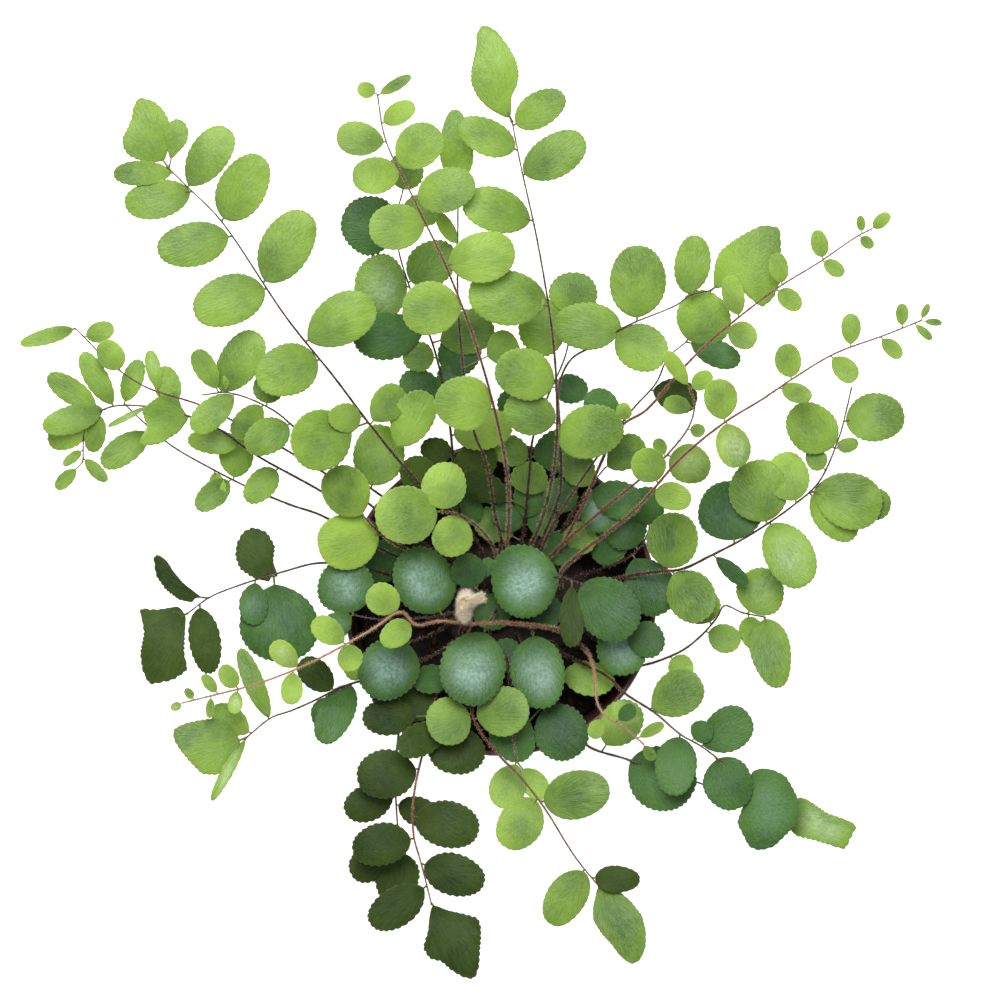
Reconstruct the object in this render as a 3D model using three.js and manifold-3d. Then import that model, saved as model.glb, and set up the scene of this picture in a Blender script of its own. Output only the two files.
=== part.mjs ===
// Button fern in a round nursery pot, in millimetres, +Z up.
// The origin is the centre of the pot's underside. Every frond is one closed body: a stipe that
// stands in the rhizome, its rachis, and all its leaflets. Each frond's row below gives the places
// where its rachis passes and the middle, length and width of each leaflet.

import * as THREE from 'three';
import { mergeVertices } from 'three/addons/utils/BufferGeometryUtils.js';
import Module from 'manifold-3d';

const wasm = await Module();
wasm.setup();

// ---------------------------------------------------------------- driving dimensions

const POT = {
  height: 95,
  rimRadius: 52.5,
  lipHeight: 10,
  lipStep: 1.6,
  wall: 1.8,
  baseRadius: 38,
  floor: 2.4,
  footChamfer: 1.5,
  edge: 0.5,
  sides: 32,
  drainHoles: 6,
  drainRadius: 4,
  drainCircle: 26,
  drainSides: 8,
};

const SOIL = {
  top: 84,
  slump: 2,
  crestRadius: 44,
  innerRadius: 32,
  roughness: 1.4,
  gap: 0.7,
  sides: 28,
};

const RHIZOME = {
  centre: [5, 0],
  halfLength: 28,
  halfWidth: 20,
  top: 90.6,
  waist: 85,
  underside: 78,
  shoulder: 0.84,
  foot: 0.8,
  drop: 1,
  lump: 0.05,
  sides: 14,
  gap: 0.5,
};

const STIPE = {
  foot: 83.4,
  collar: 91.5,
  radius: 1,
  tipRadius: 0.65,
  sides: 3,
  socketDepthBelowFoot: 0.4,
  socketRadius: 2.1,
  socketSides: 4,
};

const CROZIER = {
  foot: [-11, 2.5],
  neck: [-11.3, 0.5, 115],
  top: [-11, -1.5, 131],
  radius: 1.15,
  tipRadius: 0.8,
  coilRadius: 3.8,
  coilEnd: 1.2,
  turns: 1.35,
  lean: 0.3,
  coilSteps: 12,
  sides: 5,
};

const LEAFLET = {
  thickness: 0.65,
  swing: 70,
  pitch: 0.1,
  pitchSpread: 0.12,
  follow: 0.4,
  steepest: 0.7,
  shortestReach: 0.46,
  clear: 1.3,
  ramp: 1.5,
  endFacing: 0.4,
  firstPlace: 1.5,
  sink: 0,
  endSink: 1.2,
  rootShare: 0.4,
  small: 14,
  smallPoints: 6,
};

// Blade shapes by age: outline points and doming of the blade
const AGES = {
  young: { points: 7, dome: 0.006, colour: 0x9cc653, roughness: 0.6 },
  mid: { points: 7, dome: 0.005, colour: 0x5f9d45, roughness: 0.55 },
  old: { points: 7, dome: 0.009, colour: 0x2f5f3a, roughness: 0.45 },
};

// ---------------------------------------------------------------- the fronds
// foot: where the stipe stands, [x, y]. rachis: the places it passes, [x, y, z], foot to tip.
// leaflets: [x, y, length, width] of each blade, seen from above. Extras in a fifth value:
// lift raises the blade's middle, at is the [x, y] of the place on the rachis where it grows,
// swing is its angle to the rachis, fold lifts both halves, tip narrows its far end.

const FRONDS = [
  {
    name: 'frond_north', age: 'mid', foot: [9, 11],
    rachis: [[10.5, 18, 104], [15, 30, 122], [18.5, 48, 140], [19, 66, 152], [17.5, 88, 161],
      [12.5, 119, 167], [7, 144, 168], [4, 159, 166]],
    leaflets: [
      [-2, 176, 33, 15, { tip: 0.5 }], [13, 163, 19.5, 11.5, { at: [4.3, 157.5] }],
      [18, 147.5, 23, 14.5, { at: [7.4, 141.2] }], [-4.4, 154, 20, 12, { at: [5.6, 149.4] }],
      [-1.5, 129.7, 22.5, 14.5, { at: [11.2, 125.8] }], [2, 100.7, 25, 18.5], [30, 56, 22, 18],
      [8.7, 75, 21, 17], [10, 62, 18, 14],
    ],
  },
  {
    name: 'frond_north_hairy', age: 'young', foot: [4, 9],
    rachis: [[2.5, 17.5, 106], [3, 30, 127], [2.3, 43, 142], [-1, 60, 154], [-8, 85, 167],
      [-18, 111, 175], [-29, 134, 178], [-38, 153, 177], [-40.7, 168, 174]],
    leaflets: [
      [-44, 169.3, 7, 5.5], [-34.3, 171.3, 11, 4], [-33.7, 161.6, 12, 7.5], [-47.3, 153.3, 14, 11.5],
      [-26.7, 151, 16.5, 14.5], [-41, 141, 16, 12.5],
      [-17.7, 136.2, 19.5, 14.5, { at: [-28.7, 133] }], [-34, 124, 19, 15.5],
      [-5.6, 114, 22, 16.5, { at: [-18, 111] }], [-23, 97, 19, 18], [-9.3, 65, 21, 18],
    ],
  },
  {
    name: 'frond_north_behind', age: 'young', foot: [-1.5, 12],
    rachis: [[0.5, 19, 100], [-1.3, 27, 111], [-5, 47, 129], [-8.5, 55.5, 134], [-12, 75, 143],
      [-14, 100, 150], [-14, 126, 154], [-14, 139, 154]],
    leaflets: [
      [-14.5, 150.3, 25, 12, { tip: 0.3 }], [-17.8, 124, 11.5, 5, { at: [-14, 118] }],
      [1.5, 84, 10, 12, { lift: -3 }],
    ],
  },
  {
    name: 'frond_north_dark', age: 'old', foot: [-9, 12.5],
    rachis: [[-12, 22, 96], [-15, 40, 110], [-17, 60, 123], [-22, 84, 132], [-30, 104, 136],
      [-34, 118, 136], [-34, 130, 135], [-32.5, 136, 134]],
    leaflets: [
      [-41, 124, 20, 20], [-38.2, 104.5, 19, 22], [-38.7, 88, 20, 16], [-23, 112, 18, 15],
      [-10, 89.5, 16, 15, { at: [-22, 86] }], [-27, 71, 14, 12], [-25.5, 81, 12, 10],
      [-31.5, 142.5, 14, 12], [-25.5, 130, 13, 11], [-16.5, 80, 16, 14],
      [-16.5, 74.5, 13, 9, { at: [-19.7, 68] }], [-21, 49.7, 11, 9],
      [-6, 57, 20, 14, { at: [-16.4, 55] }],
    ],
  },
  {
    name: 'frond_northwest', age: 'mid', foot: [-5, 9],
    rachis: [[-7, 18, 101], [-15, 28.5, 113], [-28, 40, 127], [-43, 58, 143], [-55, 74, 153],
      [-71, 94, 162], [-93, 126.5, 167], [-104, 137.5, 167], [-110, 143.5, 166]],
    leaflets: [
      [-117.5, 155.3, 24, 15, { tip: 0.3 }], [-107.8, 153.3, 15, 8, { at: [-110, 143.5] }],
      [-119.3, 141.9, 18, 8.5, { at: [-108.5, 142.2] }],
      [-113.8, 133.3, 22, 13, { at: [-102.3, 136] }],
      [-96.3, 148.3, 20.5, 13.5, { at: [-103.6, 137.3] }],
      [-85.6, 136.9, 24.5, 16, { at: [-92.7, 126] }],
      [-102.5, 118.2, 23, 14.5, { at: [-89, 121] }],
      [-70.8, 118, 25, 17, { at: [-78, 105.5] }],
      [-89.7, 99.8, 25, 17, { at: [-77, 104] }], [-52, 93.7, 23, 16.5, { swing: 97 }],
      [-70.3, 76.7, 22, 17.5], [-60.3, 53, 18.5, 20, { swing: 75, lift: 8 }], [-28.7, 61.3, 18, 14],
      [-50, 60.8, 12, 10, { swing: 60, lift: 4 }],
      [-37, 66, 13, 11, { swing: 80, lift: -5 }],
    ],
  },
  {
    name: 'frond_west_upper', age: 'mid', foot: [-6, 5],
    rachis: [[-10, 14, 101], [-20, 21.5, 110], [-32, 29.5, 117], [-45, 38.5, 124], [-57, 46.7, 132],
      [-69, 58, 142], [-76.3, 63.7, 146], [-90, 69, 149], [-99.3, 68.3, 148]],
    leaflets: [
      [-98.3, 77.7, 13, 7.5, { fold: 0.3 }], [-86.5, 79.7, 22, 14, { at: [-93, 69] }],
      [-96.3, 61.8, 16, 10, { at: [-88.5, 68.6] }], [-76.3, 55.2, 17.5, 12],
      [-40.5, 48.5, 20, 17, { lift: -2 }], [-77.5, 67.5, 13, 10, { lift: -4 }],
      [-84, 59.5, 14, 9, { lift: -4 }], [-90.7, 75.5, 9, 3, { at: [-91.5, 69] }],
    ],
  },
  {
    name: 'frond_west_long', age: 'mid', foot: [-10, 8.5],
    rachis: [[-13, 13, 97], [-36, 22, 112], [-61, 37, 121], [-82, 48.7, 130], [-94.3, 57.3, 134],
      [-106, 62, 136], [-119, 64.7, 137], [-131, 64, 135], [-138, 58, 132], [-139.3, 46, 128]],
    leaflets: [
      [-143.7, 70.2, 16.5, 8.5, { at: [-133, 63.3] }],
      [-142.7, 60.3, 20, 9.5, { at: [-132, 63.7], lift: 2 }],
      [-135, 55.5, 13, 7, { at: [-133.5, 62.5], lift: -3 }],
      [-134.7, 74.3, 18.5, 8, { at: [-129, 64.4] }],
      [-112, 61, 19, 18, { at: [-103, 61.3], lift: 2 }],
      [-115.6, 77.5, 12, 5], [-79.5, 38.5, 15, 9.5, { swing: 80 }],
      [-95.5, 52.8, 17, 8.5, { at: [-86.5, 52], lift: -3 }],
      [-111, 72, 12, 9, { at: [-109, 63] }], [-124.5, 61, 14, 2.2, { at: [-117.5, 64.5] }],
      [-144, 55.5, 15, 10, { at: [-137.6, 58.7], lift: -3 }],
      [-142.6, 47.5, 8, 3.5, { at: [-139.3, 50] }], [-134.7, 43, 9.5, 4.5, { at: [-139.2, 47.5] }],
      [-145.3, 40, 8, 5],
    ],
  },
  {
    name: 'frond_west_far', age: 'young', foot: [-4, 1.5],
    rachis: [[-9, 7.5, 102], [-20, 15, 109], [-33, 23.5, 114], [-45, 33, 119], [-58, 42, 126],
      [-82, 56, 138], [-100, 65, 142], [-118, 71, 144], [-130, 79, 143], [-137, 86, 142],
      [-141.5, 90.5, 141]],
    leaflets: [
      [-150.4, 88, 19, 5.5], [-133.7, 89.2, 10.5, 7, { at: [-138.6, 87.5] }],
      [-129.6, 81.5, 11, 9, { at: [-126, 76.3] }],
    ],
  },
  {
    name: 'frond_west_lower', age: 'mid', foot: [-15, 4],
    rachis: [[-20, 8, 97], [-38, 16, 107], [-60, 28.3, 114], [-70, 31.7, 117], [-85, 38, 120],
      [-97.3, 44.3, 122], [-109.7, 51.5, 124], [-119, 59.3, 125], [-125.5, 65.5, 125]],
    leaflets: [
      [-96, 35, 14, 8.5, { fold: 0.3 }], [-88, 48.7, 14, 11.5],
      [-95, 41, 12, 5.5, { at: [-95.5, 43.4] }], [-126, 49.8, 17, 9.5, { at: [-116, 56.5] }],
      [-122.8, 73.3, 15, 7],
    ],
  },
  {
    name: 'frond_west_dark', age: 'old', foot: [-18, 0],
    rachis: [[-25, 4, 94], [-40, 9, 102], [-59.7, 12.3, 106], [-72.7, 9.3, 107], [-88.7, 4.3, 106],
      [-97.3, 0.7, 104], [-104.7, -4.7, 101]],
    leaflets: [
      [-106.2, 7.3, 24, 9.5, { at: [-97.6, 0.5] }], [-81.1, 15.6, 17, 15],
      [-112.4, -14.8, 26, 17.5, { tip: -0.4 }], [-98.8, -14.2, 21.5, 10.5, { at: [-100.6, -1.6] }],
      [-82.5, -2, 13, 9.5], [-73.8, -9.3, 22.5, 26.5, { swing: 80 }], [-37.3, 12.7, 13, 12],
    ],
  },
  {
    name: 'frond_west_hairy', age: 'young', foot: [18, -10],
    rachis: [[20.5, -10.5, 97], [17, -9.5, 108], [8, -8.3, 117], [-1, -7.6, 123], [-10, -8, 128],
      [-20, -7, 132], [-28, -8.3, 135], [-33, -4, 138], [-43, -10, 140], [-62, -20.3, 141],
      [-79, -27.3, 139], [-97.7, -32.3, 134], [-105.7, -34.3, 131]],
    leaflets: [
      [-108, -35.5, 4, 3], [-103.3, -31.7, 5, 3], [-97, -27.7, 7, 4], [-96.7, -36.3, 6, 3],
      [-90.3, -25.7, 9, 6.5], [-88.3, -34.5, 7, 5], [-72.3, -17.8, 10, 8], [-69.4, -29.8, 10, 7.5],
      [-57.7, -10, 11.5, 8.7], [-50, -19.1, 9.5, 8.5], [-39, 0.2, 11.5, 11],
      [-34.3, -11, 12.3, 9, { at: [-29, -7.5] }],
    ],
  },
  {
    name: 'frond_southwest', age: 'mid', foot: [-12.5, -9.5],
    rachis: [[-15, -14, 96], [-21, -18, 104], [-28, -21, 108], [-41, -25.5, 112.5],
      [-53.3, -29.3, 119], [-61.3, -33.3, 124], [-69.7, -37, 126], [-76.3, -39.3, 127],
      [-84.7, -46, 126]],
    leaflets: [
      [-96.7, -48.3, 24, 20, { tip: 0.2 }], [-91, -57.3, 22, 4, { fold: 0.3 }],
      [-82.2, -27.5, 24, 7, { at: [-77, -39.8] }], [-54, -36.5, 23, 12, { at: [-49.7, -27.8] }],
      [-90.5, -39.7, 13, 9, { at: [-83, -44.5], lift: -3 }], [-61.5, -25, 14, 10],
      [-57.5, -36.5, 14, 12, { lift: -4 }], [-48, -23.5, 10, 8, { lift: -2 }],
    ],
  },
  {
    name: 'frond_south_dark', age: 'old', foot: [-8, -6.5],
    rachis: [[-14, -17, 95], [-21, -31, 101], [-24.7, -46.3, 104], [-29, -66.7, 105],
      [-28.9, -79, 103], [-26.5, -88, 100], [-23, -102, 95]],
    leaflets: [
      [-15.7, -114.3, 26, 17, { tip: -0.3 }], [-38.3, -58.5, 19, 16.5],
      [-17.9, -75.2, 22.5, 15.5, { at: [-29.1, -72.5] }],
      [-39.9, -82, 19.5, 14, { at: [-28.7, -80] }], [-15.2, -92.2, 20.5, 14, { at: [-26.3, -88.5] }],
      [-35.3, -103.5, 19.5, 13],
    ],
  },
  {
    name: 'frond_south_dark_low', age: 'old', foot: [-8.5, -12],
    rachis: [[-15.8, -21, 92.2], [-25.5, -31.5, 96.5], [-32.7, -40.3, 99], [-34.7, -52, 99],
      [-35, -64, 95], [-34.3, -76.3, 90], [-33.5, -84, 87]],
    leaflets: [
      [-34.5, -92.7, 19, 15], [-44, -68, 17, 12.5], [-44, -89, 14, 11.5], [-27.5, -71, 14, 10],
      [-31, -33.3, 17, 13],
    ],
  },
  {
    name: 'frond_south_bright', age: 'young', foot: [-2.5, -8.5],
    rachis: [[-5, -15, 99], [-8, -26, 109], [-9.7, -35.3, 114], [-8, -41.7, 117],
      [-0.3, -52, 123], [5.7, -58, 126], [14.3, -68.7, 129], [25, -85.7, 129], [33, -95.7, 127]],
    leaflets: [
      [-15.8, -40.2, 16.5, 16, { swing: 85 }], [1.3, -37.2, 17, 16.5, { swing: 80 }],
      [7, -74.3, 19.5, 15], [25.7, -65, 22, 16], [22.2, -99.3, 20.5, 13.5, { at: [28.4, -90] }],
      [38.5, -93.2, 16.5, 9, { at: [30.6, -92.8] }], [39.5, -108.3, 26.5, 17],
    ],
  },
  {
    name: 'frond_south_pale', age: 'young', foot: [1, -14.5],
    rachis: [[3, -24, 99], [4, -40, 110], [5.5, -54, 114]],
    leaflets: [[2.5, -63, 14, 12], [11.8, -62, 11, 8.5]],
  },
  {
    name: 'frond_southeast', age: 'mid', foot: [17, -14.5],
    rachis: [[21, -18, 95], [36.3, -26, 107], [41.3, -31, 111], [52, -38, 117], [60.3, -45, 119],
      [67.3, -49, 119.5], [74, -54, 118.5], [80, -58, 117]],
    leaflets: [
      [60, -31, 16.5, 15.5], [76.5, -43.2, 16.5, 15], [58.8, -55.3, 20, 14],
      [76, -60.9, 19, 16.5, { at: [72, -52.5] }], [89.6, -70, 28, 21, { at: [80, -58] }],
      [67.3, -44.3, 8, 8],
    ],
  },
  {
    name: 'frond_southeast_low', age: 'old', foot: [11, -14],
    rachis: [[16, -27, 96], [28, -48, 103], [42, -53.3, 107], [55, -57.5, 108],
      [67, -61.5, 107], [78, -65.5, 106], [88, -69, 104], [97, -72.5, 102]],
    leaflets: [
      [107.8, -74.8, 22, 16, { fold: 0.2, tip: 0.3 }],
      [54.2, -59.9, 23, 21, { at: [42.7, -53.5], lift: 3 }], [40.8, -40.8, 15, 14, { at: [34, -51] }],
    ],
  },
  {
    name: 'frond_southeast_hairy', age: 'young', foot: [23.5, -11],
    rachis: [[27, -15, 100], [30.3, -19.5, 112], [31.7, -26, 119], [32.7, -35, 123],
      [36, -39.5, 124], [41, -42.3, 123], [47.7, -48, 119]],
    leaflets: [
      [42.7, -37.5, 6, 5.5], [32, -43.5, 6, 5.5], [51.2, -43.3, 8, 4], [50, -51.5, 5, 4],
    ],
  },
  {
    name: 'frond_east_low', age: 'mid', foot: [25, -6.5],
    rachis: [[31, -12.5, 94], [38, -18.5, 100], [44.3, -22.3, 105], [59.7, -17.7, 112],
      [67, -12.3, 114], [72.5, -6, 116.5], [75, -2, 117.5], [81, -4.3, 117], [88.5, -5.8, 115]],
    leaflets: [
      [90.6, -17.5, 24, 14.5, { tip: 0.25 }], [86.8, 2, 17, 16.5], [68.5, -4.5, 15, 13, { lift: -3 }],
      [75.3, -13, 10.5, 9.5], [60.3, -22.3, 9, 8.5], [83.5, -8, 12, 8, { lift: -3 }],
    ],
  },
  {
    name: 'frond_east', age: 'mid', foot: [25, 2],
    rachis: [[31, 5, 97], [44, 8, 106], [52, 9.3, 111], [61, 10.3, 119], [70.3, 14.7, 126],
      [80, 19.7, 131], [89.7, 25.7, 135], [98, 31.7, 138], [106.3, 39.3, 140],
      [113.3, 55, 140], [115, 61.3, 139], [117.3, 71, 136]],
    leaflets: [
      [104.3, 57, 19, 16.5], [124.7, 60.8, 20, 16.5], [86.3, 36.2, 21, 19.5],
      [96.3, 40.5, 18, 14, { lift: -3 }], [117, 33, 21.5, 18.5],
      [111.5, 27.3, 19, 12, { at: [103, 36], lift: -4 }], [124.5, 32, 12, 11, { lift: -5 }],
      [96.4, 15, 23, 16.5, { at: [89.8, 25.8] }], [64.2, 0.7, 16.5, 16, { lift: 2 }],
      [57.7, 20, 18.5, 17], [76.8, 28.7, 22, 21, { lift: -4 }],
      [114.7, 51.3, 8.5, 5, { swing: 60, lift: -3 }], [105.8, 46.5, 9, 7, { lift: -2 }],
      [78, 9, 12, 5.5, { at: [71, 15], lift: -2 }],
    ],
  },
  {
    name: 'frond_east_long', age: 'young', foot: [20.5, 4],
    rachis: [[20.5, 9, 100], [26.7, 15.3, 116], [36.3, 22.7, 127], [46, 31, 138], [60.3, 47.3, 150.5],
      [75, 59.3, 156], [87, 66.7, 159], [98.3, 74.3, 160], [111.3, 82, 159], [128.3, 88.3, 156],
      [140, 93, 152]],
    leaflets: [
      [49.4, 45, 11.5, 11.5], [57.5, 34.6, 12.5, 9.5], [73.3, 67.5, 12.5, 11],
      [77.6, 51, 13.7, 11.5, { at: [75.2, 59.4] }], [95.8, 79.7, 11, 9],
      [98.7, 68.9, 10, 6.7, { at: [92.7, 70.5] }], [116.7, 90.7, 9.5, 6.5],
      [115, 76.5, 9.5, 7.5], [133.8, 95.5, 6.5, 4.3], [130.7, 83.5, 7.8, 5.2], [141.3, 89, 6.5, 3],
      [144.6, 92.5, 5, 2.5], [141.7, 96.5, 4.5, 2.5],
    ],
  },
  {
    name: 'frond_northeast_broad', age: 'mid', foot: [12, 14],
    rachis: [[14.5, 21, 103], [20, 36, 121], [20, 56, 135], [19.8, 72, 144], [24, 80.5, 148],
      [33.3, 85.5, 151], [41.7, 91, 154], [58.3, 98, 154], [64, 101.7, 153], [70, 103, 151]],
    leaflets: [
      [82.3, 112.3, 28, 21, { tip: -0.3 }], [45.8, 106.3, 23.5, 18.5], [64, 111.9, 19, 12],
      [46.5, 84.3, 19.5, 15.5, { at: [38, 88.7] }], [30, 91.2, 23.5, 16, { at: [41, 90.6] }],
    ],
  },
  {
    name: 'frond_northeast_short', age: 'mid', foot: [8.5, 6],
    rachis: [[13, 15, 105], [20, 29, 119], [32, 47, 131], [44, 63.3, 138], [52, 72.3, 141],
      [56, 80.7, 143], [62, 86, 144]],
    leaflets: [
      [67.8, 93.8, 17.5, 19], [33.7, 64.7, 12.5, 11], [59.2, 68, 13.5, 11.5, { lift: -2 }],
      [72.7, 82, 15.5, 9],
    ],
  },
  {
    name: 'frond_northeast_long', age: 'young', foot: [18.5, 10.5],
    rachis: [[21, 18, 103], [27, 30, 118], [40.3, 57.7, 139], [48.7, 63.3, 144], [61, 77.3, 152],
      [68.7, 85, 156], [79.3, 94, 160], [93, 104.3, 163], [106, 112.3, 163.5],
      [118.3, 120.7, 162], [123.4, 123.4, 161]],
    leaflets: [
      [126.8, 126.2, 7, 4.5], [120, 125, 6, 3], [122, 119, 5, 4], [106.2, 118.5, 9, 6],
      [110.9, 110.5, 8, 5.3], [92.7, 110.5, 9.8, 6.5], [96.3, 100, 9.3, 6.7],
      [77.5, 101.7, 12.5, 7.5], [80.5, 88.2, 10.5, 9], [41.7, 60.4, 7, 5.3],
    ],
  },
  {
    name: 'frond_northeast_curled', age: 'young', foot: [14.5, 9.5],
    rachis: [[17.5, 15, 103], [32.5, 28.5, 119.5], [50, 43, 135], [56.3, 49, 142], [63, 58, 150],
      [64.7, 65, 154], [63, 71, 156]],
    leaflets: [
      [65.8, 56.5, 5, 4.5], [58.2, 77.9, 12, 5.5], [67, 73, 8.5, 6, { lift: -3 }], [58.5, 65, 8, 6.5],
      [62.8, 45.5, 15.5, 13, { lift: -9 }], [53.3, 51.3, 5.5, 4.5],
    ],
  },
  {
    name: 'frond_west_middle', age: 'young', foot: [-14.5, 8],
    rachis: [[-17.5, 11, 97], [-25, 14.5, 104], [-33, 17.5, 112], [-38, 20.5, 120], [-43, 25, 126],
      [-45.5, 28, 128.5]],
    leaflets: [[-51.5, 36.5, 17, 16], [-50.7, 19.5, 21, 18.5, { swing: 60 }]],
  },
  {
    name: 'frond_west_inner', age: 'young', foot: [-0.5, 7],
    rachis: [[-1.5, 16, 106], [-7.3, 24.3, 123], [-14, 28.5, 130], [-20, 29.5, 132]],
    leaflets: [
      [-18.7, 37.5, 17, 15, { swing: 85 }], [-15.5, 21.5, 15, 13.5], [-31.5, 28.3, 20, 19.5],
    ],
  },
  {
    name: 'frond_crown_west', age: 'old', foot: [-9, -1],
    rachis: [[-13, -3.5, 102], [-22, -5.7, 113], [-32, -6.5, 117], [-42, -6.4, 118],
      [-49, -5, 117]],
    leaflets: [
      [-25.3, 6.3, 23.5, 20, { lift: 3 }], [-51.3, 3.4, 19.5, 19.5, { swing: 85 }],
      [-55.3, -9, 12, 9],
    ],
  },
  {
    name: 'frond_crown_inner', age: 'old', foot: [-5, -2.5],
    rachis: [[-6.5, 1, 103], [-8, 3.5, 110]],
    leaflets: [[-10.5, 9.5, 11.5, 11.5], [-4.7, 10.8, 7, 5, { at: [-8, 3.5], lift: -3 }]],
  },
  {
    name: 'frond_crown_southwest', age: 'old', foot: [-14.5, -5],
    rachis: [[-19, -9.5, 98], [-25, -12.5, 109], [-30, -14, 115]],
    leaflets: [[-37, -23, 22, 19.5]],
  },
  {
    name: 'frond_crown_south', age: 'old', foot: [-1, -3],
    rachis: [[-2, -5, 102], [-3.5, -7.5, 113], [-5, -10, 117]],
    leaflets: [[-9, -23, 25, 21.5]],
  },
  {
    name: 'frond_crown_south_low', age: 'old', foot: [10.5, -5.5],
    rachis: [[10.5, -8, 98], [11, -11.5, 109]],
    leaflets: [[12.5, -23.7, 25, 18.5]],
  },
  {
    name: 'frond_crown_centre', age: 'old', foot: [12.5, 1.5],
    rachis: [[13.5, 5, 103], [16, 7, 113], [21, 7.5, 118], [27, 5.5, 120]],
    leaflets: [
      [7.8, 6.2, 21.5, 24.5, { at: [20.5, 7.5] }], [35.7, -2.7, 24, 20],
      [24, -7, 18, 8, { at: [24, 6.6] }],
    ],
  },
  {
    name: 'frond_low_north', age: 'old', foot: [6, 15],
    rachis: [[8, 23, 98], [9, 33, 106], [10, 44, 111], [11, 54, 115], [16, 68, 121],
      [22, 82, 126], [24, 94, 128]],
    leaflets: [
      [3.3, 27, 13, 9], [12.5, 26, 12, 10], [-6, 38, 16, 10], [3.3, 50, 14, 10],
      [20, 50, 17, 14, { lift: -2 }], [6, 64, 15, 12], [23.3, 70.5, 12, 10],
      [16.8, 90.5, 18, 19, { at: [23.7, 89] }], [24.5, 102, 15, 16],
      [-2.7, 25.3, 13, 11, { lift: -2 }], [9.8, 40, 12.5, 12.5, { at: [9.2, 34.3], lift: 1 }],
    ],
  },
  {
    name: 'frond_low_northeast', age: 'old', foot: [16.5, 15],
    rachis: [[19.5, 21, 100], [25, 30, 112], [31, 39, 119], [35, 44, 122]],
    leaflets: [
      [20.5, 34.5, 13, 10.5], [30.8, 30.6, 16, 15.5], [26, 44, 14, 11.5], [40, 33.3, 15, 13],
      [42.5, 49.5, 13, 11], [26.5, 20.5, 11.5, 11, { at: [20.8, 22.9], lift: -1 }],
    ],
  },
  {
    name: 'frond_low_east', age: 'old', foot: [25.5, 7],
    rachis: [[30, 9, 95], [36, 11, 99.5], [43, 14, 102.5], [48, 19, 104.5], [50, 24, 105.5]],
    leaflets: [
      [36.3, 18.5, 15, 13, { at: [34.5, 10.6] }], [50.5, 3.5, 18, 17, { at: [44.5, 15] }],
      [43.5, 21, 17, 14], [49.5, 31, 14, 11],
    ],
  },
  {
    name: 'frond_low_southeast', age: 'old', foot: [20.5, -4.5],
    rachis: [[27, -6, 98], [35, -7, 107], [44, -8, 112]],
    leaflets: [[40.5, -15.5, 19, 17], [48.5, -12.8, 14, 12]],
  },
  {
    name: 'frond_low_south', age: 'old', foot: [5.5, -10.5],
    rachis: [[8.5, -18, 95], [12, -28, 102], [14, -36, 105]],
    leaflets: [
      [20.3, -44.3, 19.5, 18], [4, -47, 13.5, 16, { lift: -2 }], [30.5, -26.5, 15.5, 11.5, { lift: -5 }],
    ],
  },
  {
    name: 'frond_low_southwest', age: 'old', foot: [-4, -13.5],
    rachis: [[-7, -20, 95], [-10, -32, 104], [-13, -41, 107]],
    leaflets: [
      [-14.7, -50.3, 16, 19.5], [-27, -47, 15.5, 11, { lift: 3 }], [-23.3, -26.7, 12, 9.5, { lift: 4 }],
      [-38, -39.3, 16, 12, { lift: 4 }],
    ],
  },
];

// ---------------------------------------------------------------- helpers

const FULL_TURN = 2 * Math.PI;
const SAMPLES = 400;

// Repeatable draws between -1 and 1
function drawer(seed) {
  let state = seed;
  return () => {
    state = (Math.imul(state, 1664525) + 1013904223) >>> 0;
    return state / 2147483648 - 1;
  };
}

// A closed geometry from a list of points and a list of triangles
function closedGeometry(points, triangles) {
  const geometry = new THREE.BufferGeometry();
  geometry.setAttribute('position', new THREE.Float32BufferAttribute(points.flat(), 3));
  geometry.setIndex(triangles.flat());
  return geometry;
}

function toSolid(geometry) {
  const bare = geometry.clone();
  bare.deleteAttribute('normal');
  bare.deleteAttribute('uv');
  const merged = mergeVertices(bare, 1e-4);
  const triVerts = Uint32Array.from(merged.index.array);
  const vertProperties = Float32Array.from(merged.attributes.position.array);
  return new wasm.Manifold(new wasm.Mesh({ numProp: 3, vertProperties, triVerts }));
}

function toGeometry(solid) {
  const mesh = solid.getMesh();
  const geometry = new THREE.BufferGeometry();
  geometry.setAttribute('position', new THREE.BufferAttribute(mesh.vertProperties, 3));
  geometry.setIndex(new THREE.BufferAttribute(mesh.triVerts, 1));
  geometry.computeVertexNormals();
  return geometry;
}

function material(colour, roughness) {
  return new THREE.MeshStandardMaterial({ color: colour, roughness, metalness: 0 });
}

// A lathe about Z: the profile is a list of [radius, z]
function lathe(profile, sides) {
  const geometry = new THREE.LatheGeometry(profile.map(([r, z]) => new THREE.Vector2(r, z)), sides);
  geometry.rotateX(Math.PI / 2);
  return geometry;
}

// An upright prism with a regular section
function prism(x, y, zLow, zHigh, radius, sides) {
  const geometry = new THREE.CylinderGeometry(radius, radius, zHigh - zLow, sides);
  geometry.rotateX(Math.PI / 2);
  geometry.translate(x, y, (zLow + zHigh) / 2);
  return geometry;
}

// ---------------------------------------------------------------- pot

function outerRadiusAt(z) {
  const lipFoot = POT.height - POT.lipHeight;
  const bodyTop = POT.rimRadius - POT.lipStep;
  return POT.baseRadius + (bodyTop - POT.baseRadius) * (z / lipFoot);
}

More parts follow.
